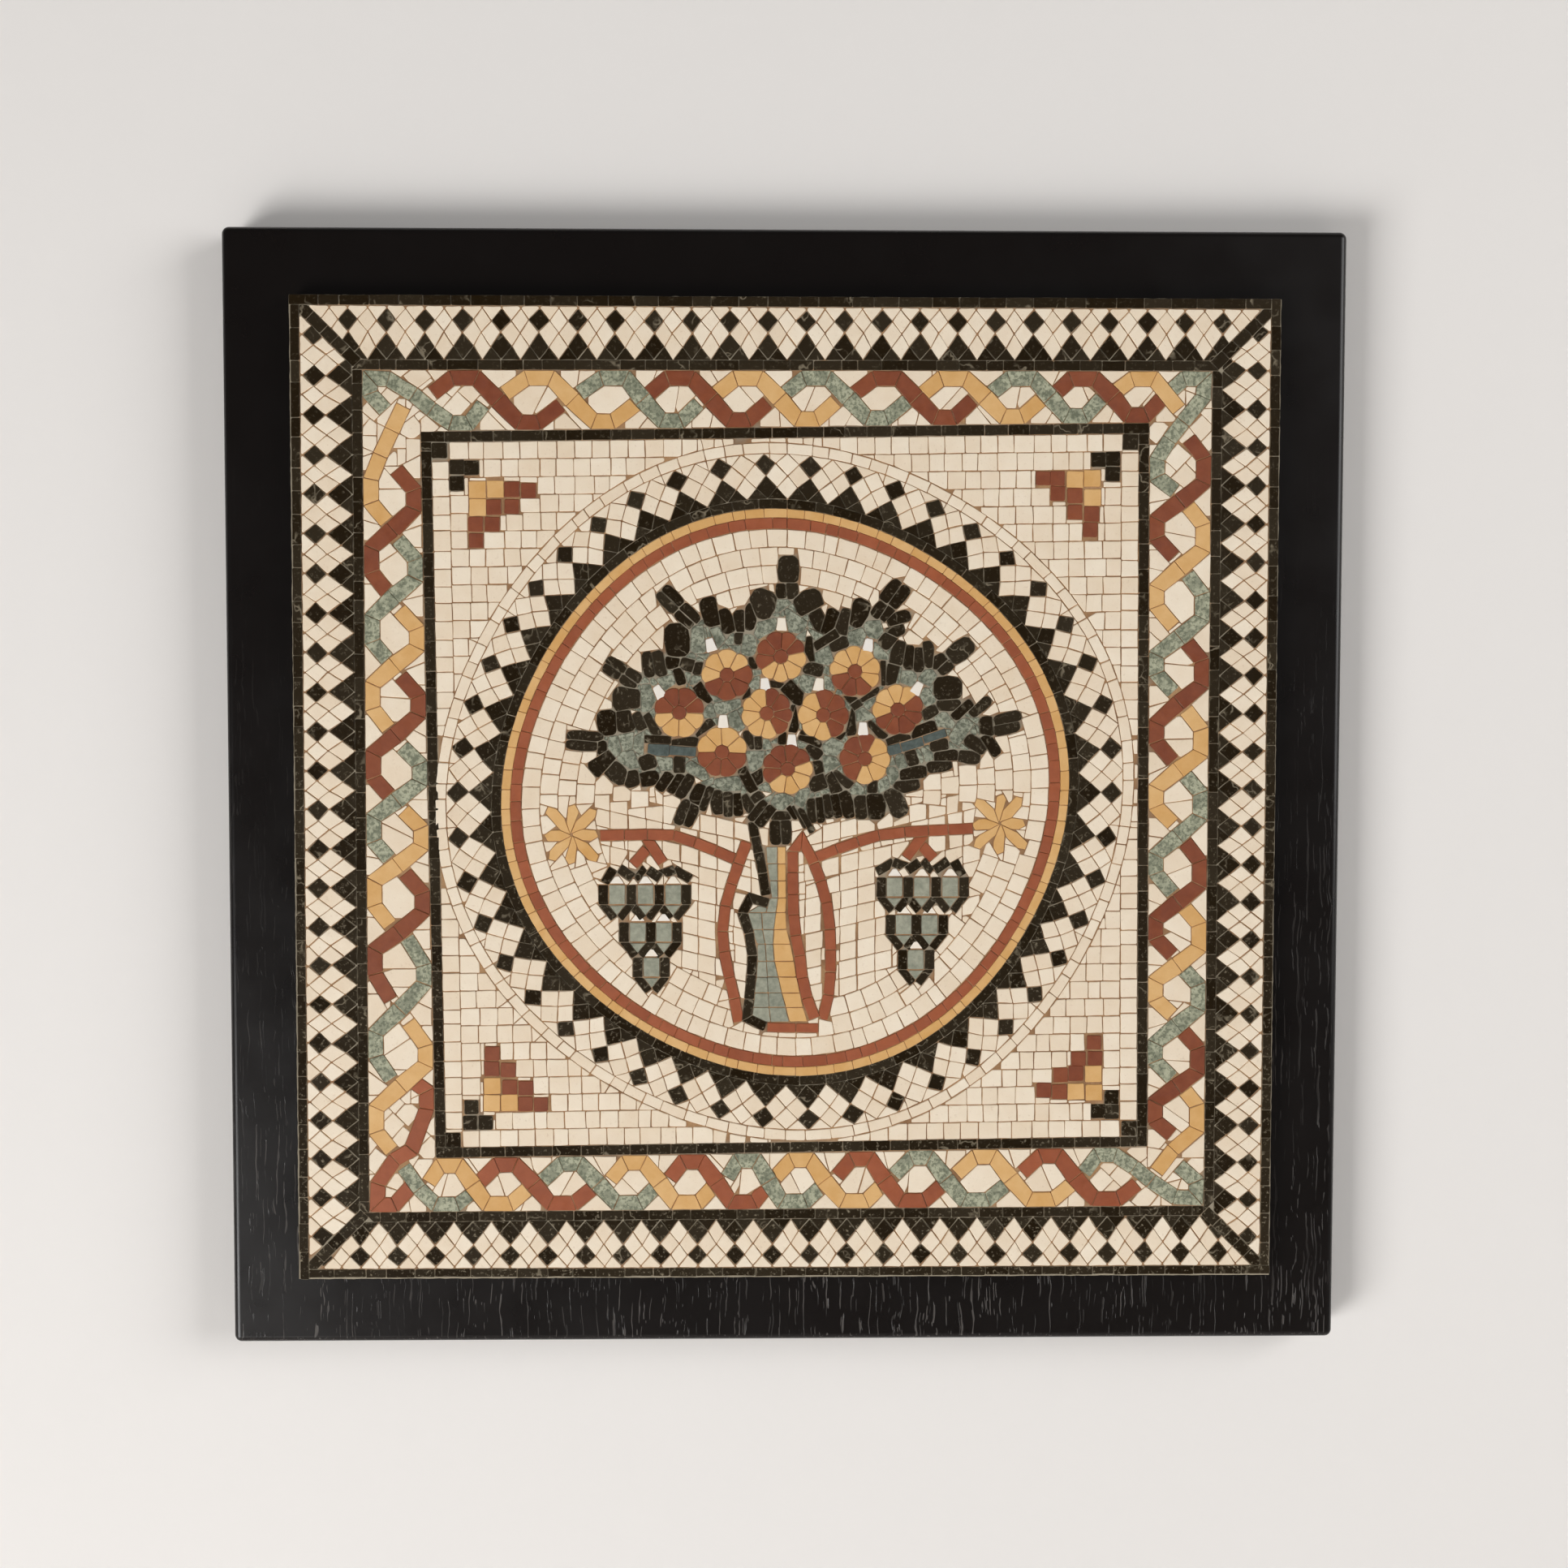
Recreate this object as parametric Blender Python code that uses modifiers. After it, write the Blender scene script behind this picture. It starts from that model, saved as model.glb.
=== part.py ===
"""Mosaic panel: natural stone tesserae on a black wooden board, hung on a wall.

Metres, +Z up. The panel stands upright in the XZ plane and faces -Y. The origin is
the centre of the board's back face, which lies flat against the wall at y = 0.
The square mosaic has a black edge line, a band of black teeth, a second black line,
a plaited band, an inner black line and a field with four corner ornaments. A round
toothed border and two coloured rings frame a tree that bears round fruit, with two
hanging bunches of grapes and two yellow flowers.
The tesserae of one colour that touch are one piece here. Each coloured piece lies in
a pocket of the pale ground, flush with its face.
"""
import math

import bmesh
import bpy
from mathutils import Matrix

MM = 0.001

# Driving sizes, from the wall outward
BOARD_DEPTH = 18 * MM
BOARD_MARGIN = 28.5 * MM        # bare wood round the mosaic
BOARD_EDGE_RADIUS = 3 * MM
BED_DEPTH = 2 * MM              # mortar that the stones are set in
STONE_DEPTH = 5 * MM
INLAY_DEPTH = 2 * MM            # coloured stones, above the pocket floor
CLEARANCE = 0.3 * MM            # glue line, and the joint round each coloured piece

# Driving sizes in the mosaic's face, from its edge inward
MOSAIC_SIDE = 400 * MM
EDGE_LINE = 4.2 * MM
TOOTH_BAND = 21.4 * MM
TOOTH_HEIGHT = 9.6 * MM
TOOTH_PITCH = 15.4 * MM
SECOND_LINE = 4.0 * MM
BRAID_BAND = 22.6 * MM
BRAID_PITCH = 27.45 * MM
STRAND_WIDTH = 4.8 * MM
INNER_LINE = 4.2 * MM
MITRE_WIDTH = 4.6 * MM

# Round border, from the field's edge inward
CIRCLE_MARGIN = 25.0 * MM       # from the inner line to the round black line
CIRCLE_PITCH = 16.2 * MM
CIRCLE_LINE = 3.8 * MM
YELLOW_RING = 3.7 * MM
RED_RING = 4.2 * MM
# The hand-set rings are a little out of round: four soft corners and a lean
SQUARENESS = 1.7 * MM
SQUARENESS_TURN = math.radians(75)
LEAN = 0.8 * MM
LEAN_TURN = math.radians(215)

# Corner ornaments, in from the inner line's corner
CORNER_INSET = 8.3 * MM
CORNER_TILE = 6.6 * MM

SIDES = ("top", "right", "bottom", "left")
CORNERS = ("top_right", "bottom_right", "bottom_left", "top_left")

# What follows from the driving sizes
HALF = MOSAIC_SIDE / 2
BOARD_SIDE = MOSAIC_SIDE + 2 * BOARD_MARGIN
EDGE_IN = HALF - EDGE_LINE
TOOTH_BASE = EDGE_IN - TOOTH_BAND
SECOND_IN = TOOTH_BASE - SECOND_LINE
BRAID_IN = SECOND_IN - BRAID_BAND
FIELD = BRAID_IN - INNER_LINE
CIRCLE_OUT = FIELD - CIRCLE_MARGIN
CIRCLE_IN = CIRCLE_OUT - CIRCLE_LINE
YELLOW_IN = CIRCLE_IN - YELLOW_RING
RED_IN = YELLOW_IN - RED_RING
FIG = RED_IN / 106.8            # the figures are drawn for a red ring of that inside radius

BED_BACK = BOARD_DEPTH + CLEARANCE
BED_FRONT = BED_BACK + BED_DEPTH
GROUND_BACK = BED_FRONT + CLEARANCE
FRONT = GROUND_BACK + STONE_DEPTH
POCKET_FLOOR = FRONT - INLAY_DEPTH - CLEARANCE
BETWEEN = 3 * CLEARANCE         # between two coloured pieces, with a rib of ground left
INLAY_BACK = FRONT - INLAY_DEPTH

COLOURS = {
    "wood_black": ((0.012, 0.011, 0.011), 0.45),
    "mortar": ((0.42, 0.31, 0.21), 0.9),
    "stone_cream": ((0.78, 0.70, 0.57), 0.5),
    "stone_black": ((0.012, 0.010, 0.008), 0.35),
    "stone_red": ((0.27, 0.065, 0.04), 0.5),
    "stone_yellow": ((0.74, 0.42, 0.14), 0.5),
    "stone_green": ((0.17, 0.22, 0.16), 0.5),
    "stone_grey": ((0.27, 0.31, 0.29), 0.5),
}


def clear_scene():
    for obj in list(bpy.data.objects):
        bpy.data.objects.remove(obj, do_unlink=True)


def collection(name):
    group = bpy.data.collections.new(name)
    bpy.context.scene.collection.children.link(group)
    return group


def material(name):
    if name in bpy.data.materials:
        return bpy.data.materials[name]
    colour, roughness = COLOURS[name]
    mat = bpy.data.materials.new(name)
    mat.use_nodes = True
    shader = mat.node_tree.nodes["Principled BSDF"]
    shader.inputs["Base Color"].default_value = (*colour, 1)
    shader.inputs["Roughness"].default_value = roughness
    shader.inputs["Metallic"].default_value = 0
    return mat


# Flat outlines: lists of (x, z) points

def quarter(points, k):
    """Turns an outline drawn for the top side clockwise onto side k."""
    for _ in range(k):
        points = [(z, -x) for x, z in points]
    return points


def grow(points, distance):
    """Moves each edge of an outline outward by a distance, with square corners."""
    n = len(points)
    area = sum(points[i][0] * points[(i + 1) % n][1] - points[(i + 1) % n][0] * points[i][1]
               for i in range(n))
    turn = 1 if area > 0 else -1
    out = []
    for i in range(n):
        (ax, az), (bx, bz), (cx, cz) = points[i - 1], points[i], points[(i + 1) % n]
        ux, uz = bx - ax, bz - az
        vx, vz = cx - bx, cz - bz
        lu, lv = math.hypot(ux, uz), math.hypot(vx, vz)
        n1 = (turn * uz / lu, -turn * ux / lu)
        n2 = (turn * vz / lv, -turn * vx / lv)
        share = 1 + n1[0] * n2[0] + n1[1] * n2[1]
        share = max(share, 0.35)
        out.append((bx + distance * (n1[0] + n2[0]) / share,
                    bz + distance * (n1[1] + n2[1]) / share))
    return out


def strip(points, width):
    """The outline of a band of one width along a route of points."""
    left, right = [], []
    n = len(points)
    for i, (x, z) in enumerate(points):
        ax, az = points[max(i - 1, 0)]
        cx, cz = points[min(i + 1, n - 1)]
        ux, uz = x - ax, z - az
        vx, vz = cx - x, cz - z
        lu, lv = math.hypot(ux, uz) or 1, math.hypot(vx, vz) or 1
        nx = -(uz / lu + vz / lv)
        nz = ux / lu + vx / lv
        size = math.hypot(nx, nz)
        share = size / 2 if 0 < i < n - 1 else 1
        nx, nz = nx / size / share, nz / size / share
        left.append((x + nx * width / 2, z + nz * width / 2))
        right.append((x - nx * width / 2, z - nz * width / 2))
    return left + right[::-1]


def square_ring(outer, inner):
    return [[(-outer, -outer), (outer, -outer), (outer, outer), (-outer, outer)],
            [(-inner, -inner), (inner, -inner), (inner, inner), (-inner, inner)]]


def ring_point(radius, angle):
    """A point of the round border: the angle runs clockwise from the top."""
    share = radius / CIRCLE_OUT
    wobble = SQUARENESS * math.cos(4 * (angle - SQUARENESS_TURN))
    wobble += LEAN * math.cos(angle - LEAN_TURN)
    r = radius + share * wobble
    return (r * math.sin(angle), r * math.cos(angle))


def round_outline(radius, count):
    return [ring_point(radius, 2 * math.pi * i / count) for i in range(count)]


def disc(x, z, radius, count):
    return [(x + radius * math.cos(2 * math.pi * i / count),
             z + radius * math.sin(2 * math.pi * i / count)) for i in range(count)]


def drawn(points):
    """Figure points at their real size, as shares of the red ring's inside radius."""
    return [(x * FIG, z * FIG) for x, z in points]


# Solids

def solid(name, outlines, back, front, mat, group):
    """A flat plate between two distances from the wall, cut to its outlines."""
    curve = bpy.data.curves.new(name + "_outline", "CURVE")
    curve.dimensions = "2D"
    curve.fill_mode = "BOTH"
    curve.extrude = (front - back) / 2
    for points in outlines:
        spline = curve.splines.new("POLY")
        spline.points.add(len(points) - 1)
        for point, (x, z) in zip(spline.points, points):
            point.co = (x, z, 0, 1)
        spline.use_cyclic_u = True
    sketch = bpy.data.objects.new(name + "_sketch", curve)
    bpy.context.scene.collection.objects.link(sketch)
    bpy.context.view_layer.update()
    graph = bpy.context.evaluated_depsgraph_get()
    mesh = bpy.data.meshes.new_from_object(sketch.evaluated_get(graph))
    bpy.data.objects.remove(sketch, do_unlink=True)
    bpy.data.curves.remove(curve)
    mesh.name = name
    upright = Matrix.Translation((0, -(back + front) / 2, 0)) @ Matrix.Rotation(math.pi / 2, 4, "X")
    bm = bmesh.new()
    bm.from_mesh(mesh)
    bmesh.ops.remove_doubles(bm, verts=bm.verts, dist=0.00001)
    bmesh.ops.transform(bm, matrix=upright, verts=bm.verts)
    bmesh.ops.recalc_face_normals(bm, faces=bm.faces)
    bm.to_mesh(mesh)
    bm.free()
    mesh.materials.clear()
    if mat:
        mesh.materials.append(material(mat))
    obj = bpy.data.objects.new(name, mesh)
    group.objects.link(obj)
    return obj


def boolean(obj, operation, other):
    cut = obj.modifiers.new(operation.title(), "BOOLEAN")
    cut.operation = operation
    cut.solver = "EXACT"
    if isinstance(other, bpy.types.Collection):
        cut.operand_type = "COLLECTION"
        cut.collection = other
    else:
        cut.object = other


def hidden(obj):
    obj.hide_render = True
    obj.display_type = "WIRE"
    return obj


class Panel:
    def __init__(self):
        self.parts = collection("mosaic_panel")
        self.pockets = collection("pocket_cutters")

    def slab(self, name, side, back, front, mat):
        bpy.ops.mesh.primitive_cube_add(size=1, location=(0, -(back + front) / 2, 0))
        obj = bpy.context.object
        obj.name = name
        obj.data.name = name
        for group in list(obj.users_collection):
            group.objects.unlink(obj)
        self.parts.objects.link(obj)
        obj.data.transform(Matrix.Diagonal((side, front - back, side, 1)))
        obj.data.materials.append(material(mat))
        return obj

    def pocket(self, name, outlines):
        cutter = solid("pocket_" + name, outlines, POCKET_FLOOR, FRONT + INLAY_DEPTH, None,
                       self.pockets)
        return hidden(cutter)

    def inlay(self, name, outline, mat):
        """A coloured piece, and the pocket that it lies in."""
        self.pocket(name, [grow(outline, CLEARANCE)])
        return solid(name, [outline], INLAY_BACK, FRONT, mat, self.parts)

    def joined(self, name, outlines, mat):
        """One coloured piece from overlapping outlines, each with its own pocket."""
        obj = solid(name, [outlines[0]], INLAY_BACK, FRONT, mat, self.parts)
        self.pocket(name + "_0", [grow(outlines[0], CLEARANCE)])
        rest = collection(name + "_shapes")
        for i, outline in enumerate(outlines[1:], 1):
            hidden(solid(f"{name}_shape_{i}", [outline], INLAY_BACK, FRONT, None, rest))
            self.pocket(f"{name}_{i}", [grow(outline, CLEARANCE)])
        boolean(obj, "UNION", rest)
        return obj


def carrier(panel):
    board = panel.slab("board", BOARD_SIDE, 0, BOARD_DEPTH, "wood_black")
    rounding = board.modifiers.new("RoundedEdges", "BEVEL")
    rounding.width = min(BOARD_EDGE_RADIUS, BOARD_DEPTH * 0.45)
    rounding.segments = 3
    rounding.limit_method = "ANGLE"
    panel.slab("setting_bed", MOSAIC_SIDE, BED_BACK, BED_FRONT, "mortar")
    return panel.slab("stone_ground", MOSAIC_SIDE, GROUND_BACK, FRONT, "stone_cream")


def edge_line(panel):
    """The outermost line is a ring that laps the edge of the ground."""
    outer, inner = square_ring(HALF, EDGE_IN)
    solid("edge_line", [outer, inner], INLAY_BACK, FRONT, "stone_black", panel.parts)
    reach = square_ring(HALF + INLAY_DEPTH, EDGE_IN - CLEARANCE)
    panel.pocket("edge_line", reach)


def teeth(panel):
    """Black teeth on the second line, which point outward, and the mitre lines."""
    room = 2 * TOOTH_BASE - MITRE_WIDTH * 2
    count = max(int(room / TOOTH_PITCH), 3)
    pitch = room / count
    for k, side in enumerate(SIDES):
        top = [(-TOOTH_BASE + CLEARANCE, TOOTH_BASE), (-room / 2, TOOTH_BASE)]
        for i in range(count):
            x = -room / 2 + pitch * i
            top += [(x + pitch / 2, TOOTH_BASE + TOOTH_HEIGHT), (x + pitch, TOOTH_BASE)]
        top += [(TOOTH_BASE - CLEARANCE, TOOTH_BASE), (SECOND_IN - CLEARANCE, SECOND_IN),
                (-SECOND_IN + CLEARANCE, SECOND_IN)]
        panel.inlay("teeth_" + side, quarter(top, k), "stone_black")
    for k, corner in enumerate(CORNERS):
        half = MITRE_WIDTH / math.sqrt(2)
        a, b = TOOTH_BASE + BETWEEN, EDGE_IN - BETWEEN
        mitre = [(a, a), (a + half / 2, a), (b, b - half / 2), (b, b), (b - half / 2, b),
                 (a, a + half / 2)]
        panel.inlay("mitre_" + corner, quarter(mitre, k), "stone_black")


def braid(panel):
    """Strands that cross the band one after another, each over the end of the last.

    Fused, they are a ladder along the band: notches at both edges, and an eye between
    one crossing and the next.
    """
    outer = SECOND_IN - BETWEEN
    inner = BRAID_IN + BETWEEN
    middle = (outer + inner) / 2
    notch = 0.35 * BRAID_BAND
    start = -SECOND_IN + STRAND_WIDTH
    room = 2 * SECOND_IN - BRAID_BAND - 2 * STRAND_WIDTH
    count = max(round(room / BRAID_PITCH), 2)
    pitch = room / (count + 0.3)
    for k, side in enumerate(SIDES):
        above, below, eyes = [], [], []
        for i in range(count + 1):
            s = start + pitch * i
            above += [(s, outer), (s + 0.30 * pitch, outer)]
            below += [(s, inner), (s + 0.30 * pitch, inner)]
            if i == count:
                break
            above.append((s + 0.66 * pitch, outer - notch))
            below.append((s + 0.64 * pitch, inner + notch))
            eyes.append([(s + 0.80 * pitch, middle), (s + 1.10 * pitch, outer - STRAND_WIDTH),
                         (s + 1.50 * pitch, middle), (s + 1.20 * pitch, inner + STRAND_WIDTH)])
        eyes.pop()
        rim = above + below[::-1]
        shapes = [quarter(shape, k) for shape in [rim] + eyes]
        solid("braid_" + side, shapes, INLAY_BACK, FRONT, "stone_red", panel.parts)
        room_round = [grow(shapes[0], CLEARANCE)] + [grow(eye, -CLEARANCE) for eye in shapes[1:]]
        panel.pocket("braid_" + side, room_round)


def inner_line(panel):
    rings = square_ring(BRAID_IN, FIELD)
    solid("inner_line", rings, INLAY_BACK, FRONT, "stone_black", panel.parts)
    panel.pocket("inner_line", square_ring(BRAID_IN + CLEARANCE, FIELD - CLEARANCE))


def corner_ornaments(panel):
    """In each corner of the field: a black angle, a yellow angle and red steps."""
    tile = CORNER_TILE
    joint = BETWEEN

    def placed(points, k):
        return quarter([(FIELD - u, FIELD - v) for u, v in points], k)

    def angle(start, arm, long):
        return [(start, start), (start + long, start), (start + long, start + arm),
                (start + arm, start + arm), (start + arm, start + long), (start, start + long)]
    a = CORNER_INSET
    b = a + tile + joint
    c = b + tile + joint
    for k, corner in enumerate(CORNERS):
        panel.inlay("corner_black_" + corner, placed(angle(a, tile, 2 * tile), k), "stone_black")
        panel.inlay("corner_yellow_" + corner, placed(angle(b, tile, 2 * tile), k), "stone_yellow")
        d = b + 2 * tile + joint
        steps = [(c, c), (d, c), (d, b), (d + 2 * tile, b), (d + 2 * tile, c - joint),
                 (d + tile, c - joint), (d + tile, c + tile), (c + tile, c + tile),
                 (c + tile, d + tile), (c - joint, d + tile), (c - joint, d + 2 * tile),
                 (b, d + 2 * tile), (b, d), (c, d)]
        panel.inlay("corner_red_" + corner, placed(steps, k), "stone_red")


def round_border(panel):
    count = max(round(2 * math.pi * CIRCLE_OUT / CIRCLE_PITCH), 8)
    step = 2 * math.pi / count
    outer = []
    for i in range(count):
        for turn, height in ((0, 0), (0.5, TOOTH_HEIGHT)):
            outer.append(ring_point(CIRCLE_OUT + height, step * (i + turn)))
    sides = max(count // 2, 12)
    inner = round_outline(CIRCLE_IN, sides)
    solid("round_teeth", [outer, inner], INLAY_BACK, FRONT, "stone_black", panel.parts)
    pieces = (("yellow_ring", CIRCLE_IN, YELLOW_IN, "stone_yellow"),
              ("red_ring", YELLOW_IN, RED_IN, "stone_red"))
    for name, out, inside, mat in pieces:
        rings = [round_outline(out - CLEARANCE, sides), round_outline(inside, sides)]
        solid(name, rings, INLAY_BACK, FRONT, mat, panel.parts)
    panel.pocket("round_border", [grow(outer, CLEARANCE),
                                  round_outline(RED_IN - CLEARANCE, sides)])


# The tree: a broad crown with long leaves round its rim
CROWN = (1, 34, 74, 43)                  # centre x, centre z, half width, half height
# Each long leaf: where it leaves the rim and where it points, in degrees, length, width
LEAVES = ((30, 40, 12, 8), (62, 52, 20, 9), (90, 90, 19, 9), (121, 132, 19, 8),
          (155, 160, 9, 7), (195, 185, 20, 6.5), (240, 230, 13, 7), (268, 270, 12, 8),
          (300, 310, 12, 7), (352, 5, 20, 7))
FRUIT_RADIUS = 10
FRUITS = ((-2.5, 55.3), (-24.4, 47.9), (27.6, 49.4), (-43.7, 32.6), (-8.2, 32.3),
          (14.8, 31.6), (45.1, 33.8), (-26.4, 16.6), (0.3, 9.6), (31.7, 13.8))


def crown_outline():
    """The rim of the crown, with each leaf's rounded end let into it."""
    cx, cz, rx, rz = CROWN

    def rim(degrees):
        a = math.radians(degrees)
        return cx + rx * math.cos(a), cz + rz * math.sin(a)
    points = []
    for i, (at, toward, length, width) in enumerate(LEAVES):
        x, z = rim(at)
        c, s = math.cos(math.radians(toward)), math.sin(math.radians(toward))
        span = math.degrees(width / 2 / math.hypot(rx * math.sin(math.radians(at)),
                                                   rz * math.cos(math.radians(at))))
        points.append(rim(at - span))
        for along, across in ((length - 0.35 * width, -0.5), (length, -0.2), (length, 0.2),
                              (length - 0.35 * width, 0.5)):
            points.append((x + along * c - across * width * s,
                           z + along * s + across * width * c))
        points.append(rim(at + span))
        following = LEAVES[(i + 1) % len(LEAVES)][0] + (360 if i + 1 == len(LEAVES) else 0)
        steps = max(round((following - at) / 10), 2)
        for j in range(1, steps):
            points.append(rim(at + (following - at) * j / steps))
    return points


def tree(panel):
    radius = FRUIT_RADIUS * FIG
    around = radius + CLEARANCE / math.cos(math.pi / 12)
    crown = drawn(crown_outline())
    centres = drawn(FRUITS)
    holes = [disc(x, z, around, 12) for x, z in centres]
    panel.pocket("crown", [grow(crown, CLEARANCE)])
    solid("crown", [crown] + holes, INLAY_BACK, FRONT, "stone_green", panel.parts)
    for i, (x, z) in enumerate(centres, 1):
        solid(f"fruit_{i}", [disc(x, z, radius, 12)], INLAY_BACK, FRONT, "stone_red",
              panel.parts)


def trunk(panel):
    panel.inlay("trunk_line", drawn(strip([(-13.6, -13), (-8.6, -41.3)], 3.8)), "stone_black")
    knob = [(-7, -45), (-13.5, -43), (-19.6, -45), (-13.6, -62), (-14.6, -76), (-16.2, -95.6)]
    panel.inlay("trunk_outline", drawn(strip(knob, 3.6)), "stone_black")
    panel.inlay("trunk_grey", drawn([
        (-7.6, -22), (-4.2, -22), (-3.6, -40), (-4.4, -52), (-5.4, -60), (-4.9, -68),
        (-3.4, -76), (-1.8, -84), (1, -93.6), (-13.8, -93.6), (-12.4, -76), (-11.4, -62),
        (-16.4, -48.4), (-7, -47.6), (-4.6, -45), (-5.8, -40)]), "stone_grey")
    panel.inlay("trunk_yellow", drawn([
        (-3.8, -22), (-0.4, -22), (-0.2, -40), (-0.4, -55), (1, -62), (3, -70), (5, -80),
        (8.2, -93.6), (1.4, -93.6), (-1.4, -84), (-3, -76), (-4.5, -68), (-5, -60),
        (-4, -52), (-3.2, -40)]), "stone_yellow")
    panel.inlay("trunk_red", drawn([
        (0, -25), (4.5, -25), (4.8, -55), (5.6, -62), (7.8, -68), (8, -76), (10, -85),
        (12.2, -91), (8.4, -92.4), (5.4, -80), (3.4, -70), (1.4, -62), (0, -55),
        (0.2, -40)]), "stone_red")
    panel.inlay("trunk_foot", drawn([(-13, -94.2), (12.6, -94.2), (13, -98.2), (-13.4, -97.4)]),
                "stone_red")


def stems(panel):
    """Red stems that rise in a loop on each side of the trunk and branch outward."""
    loops = {"left": [(-17.6, -22), (-21, -33), (-25, -45), (-26.6, -58), (-25.6, -70),
                      (-22.8, -82), (-20.6, -90)],
             "right": [(7, -19), (12, -30), (16.5, -45), (18.2, -60), (18, -74), (15.6, -90)]}
    for name, mirror, drop in (("left", -1, 0), ("right", 1, 1.5)):
        branch = [(12 if mirror > 0 else 20, -26.6), (32, -21.5 + drop), (48, -17 + drop),
                  (60, -16 + drop), (75, -16 + drop)]
        fork = [(59, -15.5 + drop), (57, -22 + drop), (50.5, -27.4 + drop)]
        twig = [(57.5, -21.5 + drop), (62.5, -27.4 + drop)]
        shapes = [drawn(strip(loops[name], 4.4))]
        shapes += [drawn(strip([(mirror * x, z) for x, z in route], 4.4))
                   for route in (branch, fork, twig)]
        panel.joined("stem_" + name, shapes, "stone_red")


def bunches(panel):
    outline = [(-75, -38), (-71, -32.6), (-66, -31.6), (-58, -33), (-47, -31), (-40, -35),
               (-40, -45), (-43, -50), (-43, -57), (-47, -65), (-48.5, -73), (-54.5, -81),
               (-58, -81), (-65, -74.5), (-63, -67), (-70, -60.5), (-68, -53), (-75, -46)]
    for name, mirror, dx, dz in (("left", 1, 0, 0), ("right", -1, -3.6, 2.6)):
        shape = [(mirror * x + dx, z + dz) for x, z in outline]
        panel.inlay("grapes_" + name, drawn(shape), "stone_grey")


def flowers(panel):
    """Two flowers with eight pointed petals."""
    for name, x, z in (("left", -88, -17), ("right", 88, -13)):
        star = []
        for i in range(16):
            radius = 11.0 if i % 2 == 0 else 4.8
            angle = math.pi * i / 8 + 0.2
            star.append((x + radius * math.cos(angle), z + radius * math.sin(angle)))
        panel.inlay("flower_" + name, drawn(star), "stone_yellow")


def main():
    clear_scene()
    panel = Panel()
    ground = carrier(panel)
    edge_line(panel)
    teeth(panel)
    braid(panel)
    inner_line(panel)
    corner_ornaments(panel)
    round_border(panel)
    tree(panel)
    trunk(panel)
    stems(panel)
    bunches(panel)
    flowers(panel)
    boolean(ground, "DIFFERENCE", panel.pockets)
    bpy.context.view_layer.update()


main()
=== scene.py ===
"""Mosaic panel: every stone, the mortar, the stained board and a plain studio.

The stones are laid out flat in millimetres, x to the right and z up from the panel's
centre. Lines, bands and figures are laid first. The pale ground is then laid in rows,
and each of its stones is nipped to fit against what is already there.
"""
import math
import random

import bmesh
import bpy
from mathutils import Euler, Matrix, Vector


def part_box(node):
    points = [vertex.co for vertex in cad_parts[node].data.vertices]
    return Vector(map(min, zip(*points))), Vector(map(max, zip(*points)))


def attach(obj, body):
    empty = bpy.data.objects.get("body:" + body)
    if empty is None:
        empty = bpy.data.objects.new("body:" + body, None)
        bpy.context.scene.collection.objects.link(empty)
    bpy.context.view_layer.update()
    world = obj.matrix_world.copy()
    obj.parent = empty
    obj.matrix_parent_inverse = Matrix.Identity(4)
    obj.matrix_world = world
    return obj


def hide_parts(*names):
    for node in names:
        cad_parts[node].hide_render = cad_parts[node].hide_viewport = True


bl_info = {
    "name": "Mosaic panel",
    "version": (1, 0, 0),
    "blender": (4, 5, 0),
    "location": "3D View > Sidebar > Mosaic",
    "description": "Lays a natural stone mosaic of a fruit tree on a black wooden board",
    "category": "Object",
}

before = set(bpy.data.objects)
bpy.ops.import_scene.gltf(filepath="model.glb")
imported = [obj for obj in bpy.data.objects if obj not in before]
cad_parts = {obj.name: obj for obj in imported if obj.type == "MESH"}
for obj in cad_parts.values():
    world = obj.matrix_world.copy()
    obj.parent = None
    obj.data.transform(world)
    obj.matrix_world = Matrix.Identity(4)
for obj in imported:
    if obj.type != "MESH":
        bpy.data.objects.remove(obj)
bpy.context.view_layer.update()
BOARD_LOW, BOARD_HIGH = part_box("board")
GROUND_LOW, GROUND_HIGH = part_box("stone_ground")
BED_LOW, BED_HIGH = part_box("setting_bed")

MM = 0.001
FACE = -GROUND_LOW[1] / MM              # how far the face of the stones is from the wall
BED_BACK = -BED_HIGH[1] / MM
HALF = GROUND_HIGH[0] / MM

# Bands, as distances from the centre
EDGE_IN = 195.8
TOOTH_BASE = 174.3
ROUND = 118.6                           # outside of the round black line
ROUND_IN = ROUND - 3.8                  # outside of the yellow ring
YELLOW_IN = ROUND - 7.5                 # outside of the red ring
RED_IN = ROUND - 11.9
# Stones and courses
EDGE_MORTAR = (0.05, 0.35, 0.6, 0.5)    # mortar left outside the edge line, by side
TOOTH_BAND = 21.5                       # height for which ROWS is drawn
MITRE_WIDTH = 4.7
TILE = 7.2                              # side of the pale field's squares
TILE_ROW = 7.1                          # depth of the row along the inner line
STRAND = 6.2                            # width of the plait's strands
STRAND_OUT = 167.1                      # their middle on the outer side, on average
PLAIT_PITCH = 27.5
# How much room a spot has where the ground is packed, largest stones first
PACKED = (3.2, 2.4, 1.7, 1.1, 0.8, 0.55)
SIDES = ("top", "right", "bottom", "left")
CORNERS = ("top_right", "bottom_right", "bottom_left", "top_left")
# The inner line is a little out of square: its outer corners, clockwise from top left
INNER_LINE = ((-147.6, 145.4), (146.6, 149.9), (148.6, -146.0), (-143.6, -149.8))
INNER_WIDTH = 4.2
# Likewise, the inside of the second line
SECOND_LINE = ((-170.9, 170.1), (172.1, 170.9), (172.3, -170.8), (-170.9, -172.3))
SECOND_WIDTH = 4.0


# Sizes and colours that a user may change

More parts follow.
